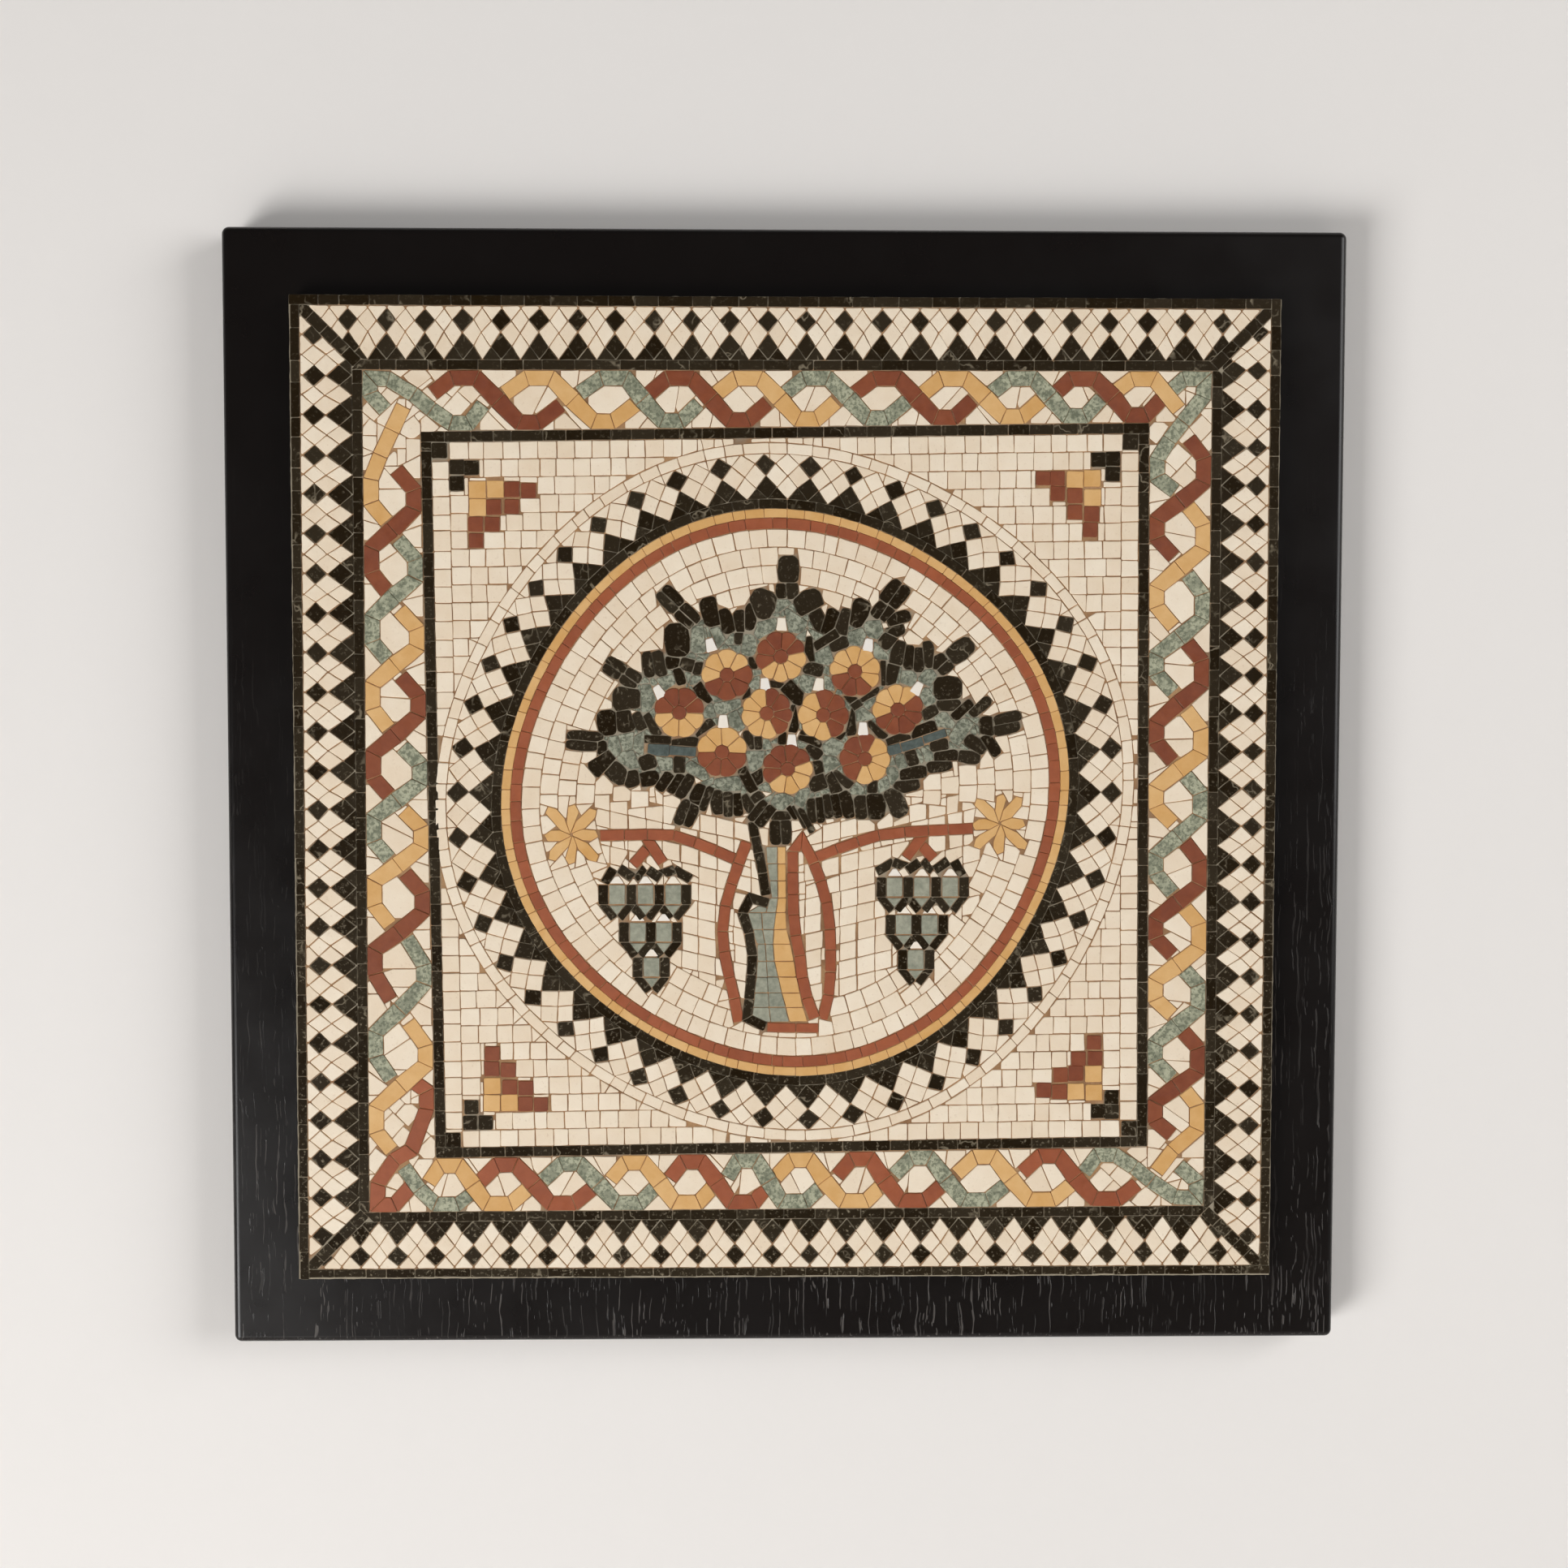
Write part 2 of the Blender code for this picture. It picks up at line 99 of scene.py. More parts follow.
def length(name, description, value):
    return bpy.props.FloatProperty(name=name, description=description, default=value,
                                   min=0.0, unit="LENGTH", precision=5)


def tint(name, description, rgb):
    return bpy.props.FloatVectorProperty(name=name, description=description, size=3,
                                         subtype="COLOR", min=0.0, max=1.0,
                                         default=tuple(linear(c) for c in rgb))


def linear(c):
    c /= 255
    return c / 12.92 if c <= 0.04045 else ((c + 0.055) / 1.055) ** 2.4


class MosaicSizes(bpy.types.PropertyGroup):
    """Sizes of the stones, the joints and the board."""
    joint: length("Joint", "Width of the mortar joint between two stones", 0.00036)
    recess: length("Joint depth", "How far the mortar lies below the stones", 0.00052)
    arris: length("Arris", "Worn edge round the face of each stone", 0.00022)
    nip: length("Nipped corner", "Corner lost when a stone is cut", 0.00036)
    uneven: length("Unevenness", "How far the stones stand above or below each other", 0.00007)
    board_edge: length("Board edge", "Radius of the board's rounded edges", 0.003)


class MosaicColours(bpy.types.PropertyGroup):
    """Colours of the stones, the mortar, the board and the studio."""
    cream_light: tint("Cream, light", "Lightest limestone", (244, 230, 208))
    cream_dark: tint("Cream, dark", "Darkest limestone", (231, 210, 182))
    black: tint("Black", "Black marble", (31, 21, 6))
    black_vein: tint("Black, veins", "Veins and chips in the black marble", (152, 140, 118))
    # this pale colour is the veins and chips, and also the painted highlight on low chips and
    # arrises
    red: tint("Red", "Red marble", (144, 77, 45))
    red_dark: tint("Red, dark", "Darker red marble", (116, 55, 30))
    rust: tint("Rust", "Lighter red marble of ring, stems and bottom band", (166, 90, 55))
    rust_dark: tint("Rust, dark", "Darker part of the lighter red marble", (138, 70, 40))
    yellow: tint("Yellow", "Ochre limestone", (226, 183, 124))
    yellow_dark: tint("Yellow, dark", "Darker ochre limestone", (208, 156, 88))
    green: tint("Green", "Mottled green marble", (178, 178, 152))
    green_dark: tint("Green, dark", "Dark flecks of the green marble", (82, 88, 68))
    moss: tint("Moss", "Mottled green marble of the crown", (161, 162, 142))
    moss_dark: tint("Moss, dark", "Dark flecks of the crown's green marble", (66, 70, 53))
    slate: tint("Slate", "Blue-grey marble of the crown's strips", (94, 104, 98))
    slate_dark: tint("Slate, dark", "Darker blue-grey marble", (54, 62, 58))
    grey: tint("Grey-green", "Grey-green marble", (172, 170, 150))
    grey_dark: tint("Grey-green, dark", "Darker grey-green marble", (118, 122, 106))
    white: tint("White", "White marble of the small accents", (240, 234, 226))
    mortar: tint("Mortar", "Tan mortar", (176, 138, 98))
    mortar_dark: tint("Mortar, dark", "Darker mortar", (136, 100, 68))
    mortar_grey: tint("Mortar, grey", "Mortar between dark stones", (150, 142, 124))
    wood: tint("Wood", "Black stain", (15, 10, 8))
    # the pore colour is partly the grain and partly a painted glint on the pores
    wood_pore: tint("Wood pores", "Pores that show through the stain", (98, 93, 89))
    paper: tint("Studio", "Pale wall and floor", (237, 233, 229))


# Flat geometry: a stone is a convex outline, counter-clockwise

def area(shape):
    return sum(shape[i - 1][0] * shape[i][1] - shape[i][0] * shape[i - 1][1]
               for i in range(len(shape))) / 2


def turned(shape):
    return list(shape) if area(shape) > 0 else list(shape)[::-1]


def centre(shape):
    return (sum(p[0] for p in shape) / len(shape), sum(p[1] for p in shape) / len(shape))


def pairs(marks):
    return zip(marks, marks[1:])


def between(a, b, t):
    """The point at a share of the way from one point to another."""
    return (a[0] + (b[0] - a[0]) * t, a[1] + (b[1] - a[1]) * t)


def placed(points, x, z, degrees):
    """Points drawn round a middle, turned from the x axis and moved to their place."""
    c, s = math.cos(math.radians(degrees)), math.sin(math.radians(degrees))
    return [(x + u * c - v * s, z + u * s + v * c) for u, v in points]


def cut(shape, at, normal):
    """Keeps what lies behind a line through a point, against its normal."""
    out = []
    if not shape:
        return out
    px, pz = at
    nx, nz = normal
    last = shape[-1]
    before = (last[0] - px) * nx + (last[1] - pz) * nz
    for point in shape:
        now = (point[0] - px) * nx + (point[1] - pz) * nz
        if (now <= 0) != (before <= 0):
            out.append(between(last, point, before / (before - now)))
        if now <= 0:
            out.append(point)
        last, before = point, now
    return out


def edges(shape):
    """Each edge as a point on it and its outward normal."""
    for i, (bx, bz) in enumerate(shape):
        ax, az = shape[i - 1]
        run = math.hypot(bx - ax, bz - az)
        if run > 1e-6:
            yield (ax, az), ((bz - az) / run, (ax - bx) / run)


def shared(shape, other):
    for at, normal in edges(other):
        shape = cut(shape, at, normal)
        if len(shape) < 3:
            return []
    return shape


def shrunk(shape, distance):
    """A stone's outline set back on every side."""
    for at, normal in list(edges(shape)):
        moved = (at[0] - normal[0] * distance, at[1] - normal[1] * distance)
        shape = cut(shape, moved, normal)
        if len(shape) < 3:
            return []
    return shape


def thickness(shape):
    """Roughly how thick a stone is across its longest way."""
    long = max(math.dist(a, b) for a in shape for b in shape)
    return area(shape) / long if long else 0


def box(x0, z0, x1, z1):
    return [(x0, z0), (x1, z0), (x1, z1), (x0, z1)]


def oval(x, z, degrees, long, wide, count=10, power=2.6):
    """A rounded stone of a length and a width, turned from the x axis."""
    out = []
    for i in range(count):
        a = 2 * math.pi * (i + 0.5) / count
        ca, sa = math.cos(a), math.sin(a)
        out.append((math.copysign(abs(ca) ** (2 / power), ca) * long / 2,
                    math.copysign(abs(sa) ** (2 / power), sa) * wide / 2))
    return placed(out, x, z, degrees)


def bar(x, z, degrees, long, wide):
    return placed(box(-long / 2, -wide / 2, long / 2, wide / 2), x, z, degrees)


def quarter(points, k):
    """Turns points drawn for the top side clockwise onto side k."""
    for _ in range(k % 4):
        points = [(z, -x) for x, z in points]
    return points


def noise(*key):
    """A steady number from -1 to 1 for a place in a pattern."""
    return random.Random(repr(key)).uniform(-1, 1)


class Stone:
    """One stone: its outline before it is worked, its colour and how it is cut."""

    def __init__(self, shape, colour, **look):
        self.shape = shape
        self.colour = colour
        self.look = look


class Layout:
    """The stones laid so far, and what is close to a place."""
    STEP = 12.0                         # side of the squares in which they are looked up

    def __init__(self):
        self.grid = {}
        self.dark = set()

    def squares(self, shape):
        xs = [p[0] for p in shape]
        zs = [p[1] for p in shape]
        for i in range(math.floor(min(xs) / self.STEP), math.floor(max(xs) / self.STEP) + 1):
            for j in range(math.floor(min(zs) / self.STEP), math.floor(max(zs) / self.STEP) + 1):
                yield i, j

    def block(self, shape, dark):
        for key in self.squares(shape):
            self.grid.setdefault(key, []).append(shape)
        if dark:
            self.dark.add(id(shape))

    def greyness(self, x, z):
        """How much nearer a place is to dark stones than to pale ones, from 0 to 1."""
        gaps = {True: 3.0, False: 3.0}
        for other in self.grid.get((math.floor(x / self.STEP), math.floor(z / self.STEP)), ()):
            gap = max((x - a) * n + (z - b) * m for (a, b), (n, m) in edges(other))
            dark = id(other) in self.dark
            gaps[dark] = min(gaps[dark], gap)
        return max(0.0, min(1.0, (gaps[False] - gaps[True]) / 1.6))

    def near(self, shape):
        seen, out = set(), []
        for key in self.squares(shape):
            for other in self.grid.get(key, ()):
                if id(other) not in seen:
                    seen.add(id(other))
                    out.append(other)
        return out

    def lay(self, stones, shape, colour, **look):
        shape = turned(shape)
        self.block(shape, colour in ("black", "moss"))
        stones.append(Stone(shape, colour, **look))

    def fit(self, stones, shape, colour, least=6.0, thin=1.3, **look):
        """Nips a stone against its neighbours, along one edge of each."""
        queue = [(turned(shape), 0)]
        while queue:
            piece, depth = queue.pop()
            for other in self.near(piece):
                hit = shared(piece, other)
                if len(hit) < 3 or area(hit) < 0.04:
                    continue
                best, side = [], None
                for at, normal in edges(other):
                    part = cut(piece, at, (-normal[0], -normal[1]))
                    if len(part) > 2 and (not best or area(part) > area(best)):
                        best, side = part, (at, normal)
                if not best:
                    piece = []
                    break
                rest = cut(piece, *side)
                if depth < 3 and len(rest) > 2 and area(rest) - area(hit) > least:
                    queue.append((rest, depth + 1))
                piece = best
                if area(piece) < least:
                    break
            if len(piece) > 2 and area(piece) >= least and thickness(piece) > thin:
                self.lay(stones, piece, colour, **look)

    def room(self, x, z):
        """How far a point is from the nearest stone, below zero inside one."""
        best = 9.0
        i, j = math.floor(x / self.STEP), math.floor(z / self.STEP)
        for other in self.grid.get((i, j), ()):
            gap = -9.0
            for (px, pz), (nx, nz) in edges(other):
                gap = max(gap, (x - px) * nx + (z - pz) * nz)
                if gap >= best:
                    break
            best = min(best, gap)
            if best < 0:
                break
        return best

    def pack(self, stones, spots, colour, sizes, least=3.0, thin=1.0, most=4.4, lean=None, **look):
        """Fills what is still bare with squarish stones, the widest gaps first."""
        open_spots = [(x, z, self.room(x, z)) for x, z in spots]
        for size in sizes:
            still = []
            for x, z, room in open_spots:
                if room < sizes[-1]:
                    continue
                room = min(room, self.room(x, z)) if room >= size else room
                if room < size:
                    still.append((x, z, room))
                    continue
                turn = (lean(x, z) if lean else 0) + 7 * noise("turn", x, z)
                piece = turned(bar(x, z, turn, 2 * most, 1.7 * most))
                for other in self.near(piece):
                    if len(shared(piece, other)) < 3:
                        continue
                    at, normal = max(edges(other), key=lambda e: (x - e[0][0]) * e[1][0]
                                     + (z - e[0][1]) * e[1][1])
                    piece = cut(piece, at, (-normal[0], -normal[1]))
                    if len(piece) < 3:
                        break
                if len(piece) > 2 and area(piece) >= least and thickness(piece) > thin:
                    self.lay(stones, piece, colour, **look)
            open_spots = still

    def cells(self, stones, spots, colour, size, least=5.0, thin=1.4, **look):
        """Fills a bare region with stones of about one size, each round its own middle."""
        bare = [p for p in spots if self.room(*p) > 0.3]
        middles = bare[::size]
        for _ in range(7):
            groups = [[] for _ in middles]
            for p in bare:
                near = min(range(len(middles)), key=lambda i: (middles[i][0] - p[0]) ** 2
                           + (middles[i][1] - p[1]) ** 2)
                groups[near].append(p)
            middles = [centre(g) for g in groups if g]
        for x, z in middles:
            piece = oval(x, z, 20, 12, 12, 10, 2.2)
            for ox, oz in middles:
                if 0 < math.dist((x, z), (ox, oz)) < 14:
                    piece = cut(piece, ((x + ox) / 2, (z + oz) / 2), (ox - x, oz - z))
            if len(piece) > 2:
                self.fit(stones, piece, colour, least, thin, **look)


layout = Layout()


def spots(x0, z0, x1, z1, step, inside, key):
    """A loose grid of places inside a region."""
    for j in range(int((z1 - z0) / step) + 1):
        for i in range(int((x1 - x0) / step) + 1):
            x = x0 + (i + 0.3 * noise(key, i, j, 0)) * step
            z = z0 + (j + 0.3 * noise(key, i, j, 1)) * step
            if inside(x, z):
                yield x, z


def inside_shape(outline):
    def test(x, z):
        odd = False
        for (ax, az), (bx, bz) in zip(outline, outline[1:] + outline[:1]):
            if (az > z) != (bz > z) and x < ax + (bx - ax) * (z - az) / (bz - az):
                odd = not odd
        return odd
    return test


# Rows of stones

def stations(rng, start, end, step, spread=0.12):
    """Joints along a line, about a step apart."""
    count = max(round(abs(end - start) / step), 1)
    marks = [start + (end - start) * i / count for i in range(count + 1)]
    for i in range(1, count):
        marks[i] += rng.uniform(-spread, spread) * (end - start) / count
    return marks


def normals(points):
    """Sideways directions at each point of a line, longer at the bends."""
    out = []
    for i in range(len(points)):
        a, b, c = points[max(i - 1, 0)], points[i], points[min(i + 1, len(points) - 1)]
        u = Vector((b[0] - a[0], b[1] - a[1]))
        v = Vector((c[0] - b[0], c[1] - b[1]))
        u = u.normalized() if u.length else v.normalized()
        v = v.normalized() if v.length else u
        n = Vector((-u.y - v.y, u.x + v.x))
        n = n / max(n.length_squared / 2, 0.6)
        out.append((n.x, n.y))
    return out


def ribbon(points, width):
    """A band as one four-sided stone from each point to the next, mitred at the bends."""
    wide = width if isinstance(width, (list, tuple)) else [width] * len(points)
    sides = normals(points)
    left = [(p[0] + n[0] * w / 2, p[1] + n[1] * w / 2) for p, n, w in zip(points, sides, wide)]
    right = [(p[0] - n[0] * w / 2, p[1] - n[1] * w / 2) for p, n, w in zip(points, sides, wide)]
    return [turned([left[i], left[i + 1], right[i + 1], right[i]])
            for i in range(len(points) - 1)]


def course(rng, points, width, step):
    """A bent row of stones of about one length."""
    marks = [0.0]
    for a, b in pairs(points):
        marks.append(marks[-1] + math.dist(a, b))

    def at(d):
        for i in range(1, len(marks)):
            if d <= marks[i] or i == len(marks) - 1:
                t = (d - marks[i - 1]) / (marks[i] - marks[i - 1])
                return between(points[i - 1], points[i], t)
    return ribbon([at(d) for d in stations(rng, 0, marks[-1], step)], width)


def wobble(angle):
    """How far the hand-set rings are out of round, by the angle clockwise from the top."""
    return (1.7 * math.cos(4 * (angle - math.radians(75)))
            + 0.8 * math.cos(angle - math.radians(215)))


def ring_point(radius, angle):
    """A point of the hand-set rings, by the angle clockwise from the top."""
    r = radius + wobble(angle) * radius / ROUND
    return (r * math.sin(angle), r * math.cos(angle))


def around(x, z):
    """The way of a ring at a point, in degrees."""
    return -math.degrees(math.atan2(x, z))


def ring_row(rng, outer, inner, step, spread=0.12, turn=0.0):
    """One ring of stones between two radii."""
    marks = stations(rng, turn, turn + 2 * math.pi, step / ((outer + inner) / 2), spread)
    for a, b in pairs(marks):
        mid = (a + b) / 2
        yield turned([ring_point(inner, a), ring_point(outer, a), ring_point(outer, mid),
                      ring_point(outer, b), ring_point(inner, b)])


# Turning outlines into solid stones

def worked(rng, shape, sizes, roundness=1.0, close=1.0):
    """A stone's outline as cut: set back unevenly by half a joint, with nipped corners."""
    half = sizes.joint / MM / 2 * close
    for (ax, az), (bx, bz) in list(zip(shape[-1:] + shape[:-1], shape)):
        run = math.dist((ax, az), (bx, bz))
        if run < 1e-6:
            continue
        nx, nz = (bz - az) / run, (ax - bx) / run
        a, b = half * rng.uniform(0.25, 1.7), half * rng.uniform(0.25, 1.7)
        if run < 3:
            a = b = half
        start, end = (ax - nx * a, az - nz * a), (bx - nx * b, bz - nz * b)
        shape = cut(shape, start, (end[1] - start[1], start[0] - end[0]))
    if len(shape) < 3 or area(shape) < 0.8:
        return []
    out = []
    count = len(shape)
    for i, here in enumerate(shape):
        last, following = shape[i - 1], shape[(i + 1) % count]
        before, after = math.dist(last, here), math.dist(here, following)
        if min(before, after) < 0.3:
            out.append(here)
            continue
        nip = sizes.nip / MM * rng.uniform(0.3, 1.2) * roundness
        t0, t1 = min(nip / before, 0.3), min(nip / after, 0.3)
        out += [between(here, last, t0), between(here, following, t1)]
        if after > 4:
            mid = rng.uniform(0.4, 0.6)
            shift = rng.uniform(-0.10, 0.07)
            dx, dz = following[0] - here[0], following[1] - here[1]
            out.append((here[0] + dx * mid + dz / after * shift,
                        here[1] + dz * mid - dx / after * shift))
    return out


def build(name, stones, replaces=()):
    """Makes one object from a list of stones, one closed body each."""
    sizes = bpy.context.scene.mosaic_sizes
    rng = random.Random("stones of " + name)
    verts, faces, slots, shades, shifts = [], [], [], [], []
    colours, rims = [], []
    arris = sizes.arris / MM
    for stone in stones:
        close = {"cream": 1.0, "black": 0.4}.get(stone.colour, 0.7)
        shape = worked(rng, stone.shape, sizes, stone.look.get("round", 1.0),
                       stone.look.get("close", close))
        if not shape:
            continue
        if stone.colour not in colours:
            colours.append(stone.colour)
        index = colours.index(stone.colour)
        cx, cz = centre(shape)
        lift = -0.16 + rng.gauss(0, sizes.uneven / MM)
        tx, tz = rng.gauss(0, 0.009), rng.gauss(0, 0.009)
        base, n = len(verts), len(shape)
        for ring in range(3):
            for x, z in shape:
                dx, dz = x - cx, z - cz
                run = math.hypot(dx, dz) or 1
                top = FACE + min(lift + tx * dx + tz * dz, -0.02)
                if ring == 0:
                    y = BED_BACK + 1.2
                elif ring == 1:
                    y = top - arris
                else:
                    y = top
                    share = 1 - min(arris * 1.1 / run, 0.4)
                    x, z = cx + dx * share, cz + dz * share
                verts.append((x * MM, -y * MM, z * MM))
        faces.append([base + i for i in range(n)][::-1])
        for ring in (0, n):
            for i in range(n):
                j = (i + 1) % n
                faces.append([base + ring + i, base + ring + j, base + ring + n + j,
                              base + ring + n + i])
        faces.append([base + 2 * n + i for i in range(n)])
        slots += [index] * (2 * n + 2)
        # rim marks the arris, which the black marble paints pale as chipping wear and as painted
        # highlight
        rims += [1.0] * (2 * n) + [0.0] * n
        shades += [rng.random()] * (3 * n)
        shifts += [(rng.uniform(-1, 1), rng.uniform(-1, 1), rng.uniform(-1, 1))] * (3 * n)
    mesh = bpy.data.meshes.new(name)
    mesh.from_pydata(verts, [], faces)
    mesh.polygons.foreach_set("material_index", slots)
    shade = mesh.attributes.new("shade", "FLOAT", "POINT")
    shade.data.foreach_set("value", shades)
    rim = mesh.attributes.new("rim", "FLOAT", "POINT")
    rim.data.foreach_set("value", rims)
    shift = mesh.attributes.new("shift", "FLOAT_VECTOR", "POINT")
    shift.data.foreach_set("vector", [c for v in shifts for c in v])
    for colour in colours:
        mesh.materials.append(STONE_MATERIALS[colour]())
    mesh.validate()
    mesh.update()
    finished(bpy.data.objects.new(name, mesh), replaces)


def finished(obj, replaces=()):
    """Puts a piece in the scene, on the panel's body and in the place of its solids."""
    bpy.context.scene.collection.objects.link(obj)
    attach(obj, "root")
    if replaces:
        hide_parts(*replaces)


# Materials

class Nodes:
    """A short way to wire a Principled material."""

    def __init__(self, name):
        self.mat = bpy.data.materials.new(name)
        self.mat.use_nodes = True
        self.tree = self.mat.node_tree
        self.shader = self.tree.nodes["Principled BSDF"]

    def add(self, kind, inputs=None, **settings):
        node = self.tree.nodes.new(kind)
        for key, value in settings.items():
            setattr(node, key, value)
        for key, value in (inputs or {}).items():
            self.feed(node.inputs[key], value)
        return node

    def feed(self, socket, value):
        if isinstance(value, bpy.types.NodeSocket):
            self.tree.links.new(value, socket)
        else:
            socket.default_value = value

    def place(self, scale=(1, 1, 1)):
        """Points of the piece in metres, shifted from stone to stone."""
        coords = self.add("ShaderNodeTexCoord").outputs["Object"]
        shift = self.add("ShaderNodeAttribute", attribute_name="shift").outputs["Vector"]
        total = self.add("ShaderNodeVectorMath", {0: coords, 1: shift}, operation="ADD")
        return self.add("ShaderNodeMapping", {"Vector": total.outputs[0],
                                              "Scale": scale}).outputs[0]

    def shade(self):
        return self.add("ShaderNodeAttribute", attribute_name="shade").outputs["Fac"]

    def noise(self, where, scale, detail=3.0, rough=0.55):
        return self.add("ShaderNodeTexNoise", {"Vector": where, "Scale": scale, "Detail": detail,
                                               "Roughness": rough}).outputs["Fac"]

    def cells(self, where, scale, feature="F1"):
        return self.add("ShaderNodeTexVoronoi", {"Vector": where, "Scale": scale},
                        feature=feature).outputs["Distance"]

    def math(self, kind, a, b=0.0):
        return self.add("ShaderNodeMath", {0: a, 1: b}, operation=kind).outputs[0]

    def span(self, value, low, high, to_low=0.0, to_high=1.0):
        return self.add("ShaderNodeMapRange", {"Value": value, "From Min": low, "From Max": high,
                                               "To Min": to_low, "To Max": to_high}).outputs[0]

    def mix(self, share, a, b):
        node = self.add("ShaderNodeMix", data_type="RGBA")
        for socket, value in zip((node.inputs[0], node.inputs[6], node.inputs[7]), (share, a, b)):
            self.feed(socket, value)
        return node.outputs[2]

    def bump(self, height, strength, distance):
        out = self.add("ShaderNodeBump", {"Height": height, "Strength": strength,
                                          "Distance": distance}).outputs[0]
        self.feed(self.shader.inputs["Normal"], out)

    def colour(self, value):
        self.feed(self.shader.inputs["Base Color"], value)

    def rough(self, value):
        self.feed(self.shader.inputs["Roughness"], value)


def rgba(name):
    return (*getattr(bpy.context.scene.mosaic_colours, name), 1.0)


def once(name, make):
    return bpy.data.materials.get(name) or make(Nodes(name)).mat


def cream_stone():
    def make(m):
        where = m.place()
        cloud = m.noise(where, 120, 4)
        share = m.add("ShaderNodeMath", {0: m.shade(), 1: 0.62,
                                         2: m.span(cloud, 0.3, 0.7, 0, 0.38)},
                      operation="MULTIPLY_ADD").outputs[0]
        base = m.mix(share, rgba("cream_dark"), rgba("cream_light"))
        fleck = m.span(m.noise(where, 900, 2), 0.62, 0.8)
        m.colour(m.mix(m.math("MULTIPLY", fleck, 0.25), base, rgba("mortar")))
        m.rough(m.span(m.noise(where, 300, 2), 0.3, 0.7, 0.42, 0.6))
        m.bump(m.noise(where, 700, 3), 0.25, 0.00012)
        return m
    return once("cream_limestone", make)


def black_stone():
    """Black marble: pale veins, small chips and pale chipped edges. The chips and edges are
    painted stronger towards the bottom and fainter at the top, a painted highlight of light from
    below.
    """
    def make(m):
        where = m.place()
        bend = m.add("ShaderNodeMixRGB", {"Fac": 0.012, "Color1": where,
                                          "Color2": m.add("ShaderNodeTexNoise", {
                                              "Vector": where, "Scale": 160.0}).outputs["Color"]},
                     blend_type="ADD").outputs[0]
        vein = m.span(m.cells(bend, 55, "DISTANCE_TO_EDGE"), 0.0, 0.03, 1, 0)
        here = m.span(m.noise(where, 90, 2), 0.54, 0.64)
        chip = m.span(m.noise(where, 700, 4, 0.7), 0.57, 0.70)
        height = m.add("ShaderNodeSeparateXYZ", {
            0: m.add("ShaderNodeTexCoord").outputs["Object"]}).outputs["Z"]
        # painted highlight: the small chips grow stronger towards the bottom of the panel
        low = m.span(height, -0.2, 0.2, 1.0, 0.15)
        edge = m.add("ShaderNodeAttribute", attribute_name="rim").outputs["Fac"]
        broken = m.span(m.noise(where, 260, 3), 0.38, 0.6, 0.25, 0.9)
        marks = m.math("MAXIMUM", m.math("MULTIPLY", vein, m.math("MULTIPLY", here, 0.8)),
                       m.math("MULTIPLY", chip, low))
        # the pale arris is chipped-edge wear and painted edge highlight, painted stronger low down
        # and darker at the top
        edge = m.math("MULTIPLY", edge, m.span(height, -0.2, 0.2, 1.0, 0.5))
        marks = m.math("MAXIMUM", m.math("MULTIPLY", marks, 0.8), m.math("MULTIPLY", edge, broken))
        base = m.mix(m.math("MULTIPLY", m.shade(), 0.06), rgba("black"), rgba("black_vein"))
        m.colour(m.mix(marks, base, rgba("black_vein")))
        m.rough(m.span(m.noise(where, 400, 2), 0.3, 0.7, 0.32, 0.5))
        m.shader.inputs["Specular IOR Level"].default_value = 0.1
        m.bump(m.noise(where, 800, 3), 0.25, 0.0001)
        return m
    return once("black_marble", make)


def plain_stone(name, light, dark, mottle=0.4, scale=220):
    def make(m):
        where = m.place()
        cloud = m.span(m.noise(where, scale, 4, 0.65), 0.3, 0.7)
        share = m.add("ShaderNodeMath", {0: m.shade(), 1: 1 - mottle,
                                         2: m.math("MULTIPLY", cloud, mottle)},
                      operation="MULTIPLY_ADD").outputs[0]
        base = m.mix(share, rgba(dark), rgba(light))
        streak = m.span(m.noise(m.place((1, 1, 4)), 260, 2), 0.64, 0.75, 0, 0.4)
        m.colour(m.mix(streak, base, rgba(dark)))
        m.rough(m.span(m.noise(where, 300, 2), 0.3, 0.7, 0.42, 0.6))
        m.bump(m.noise(where, 700, 3), 0.3, 0.00012)
        return m
    return once(name, make)


def mottled_stone(name, light, dark):
    def make(m):
        where = m.place()
        cloud = m.span(m.noise(where, 230, 3, 0.6), 0.42, 0.60)
        fleck = m.span(m.noise(where, 760, 2, 0.6), 0.47, 0.58)
        base = m.mix(m.math("MULTIPLY", cloud, 0.62), rgba(light), rgba(dark))
        base = m.mix(m.math("MULTIPLY", m.shade(), 0.3), base, rgba(light))
        m.colour(m.mix(m.math("MULTIPLY", fleck, 0.66), base, rgba(dark)))
        m.rough(m.span(cloud, 0, 1, 0.4, 0.55))
        m.bump(m.noise(where, 700, 3), 0.3, 0.00012)
        return m
    return once(name, make)


STONE_MATERIALS = {
    "cream": cream_stone,
    "black": black_stone,
    "red": lambda: plain_stone("red_marble", "red", "red_dark", 0.5),
    "rust": lambda: plain_stone("rust_marble", "rust", "rust_dark", 0.5),
    "yellow": lambda: plain_stone("ochre_limestone", "yellow", "yellow_dark", 0.5, 160),
    "green": lambda: mottled_stone("green_marble", "green", "green_dark"),
    "moss": lambda: mottled_stone("crown_marble", "moss", "moss_dark"),
    "slate": lambda: plain_stone("slate_marble", "slate", "slate_dark", 0.8, 420),
    "grey": lambda: plain_stone("grey_green_marble", "grey", "grey_dark", 0.7, 420),
    "white": lambda: plain_stone("white_marble", "white", "cream_light", 0.3),
}


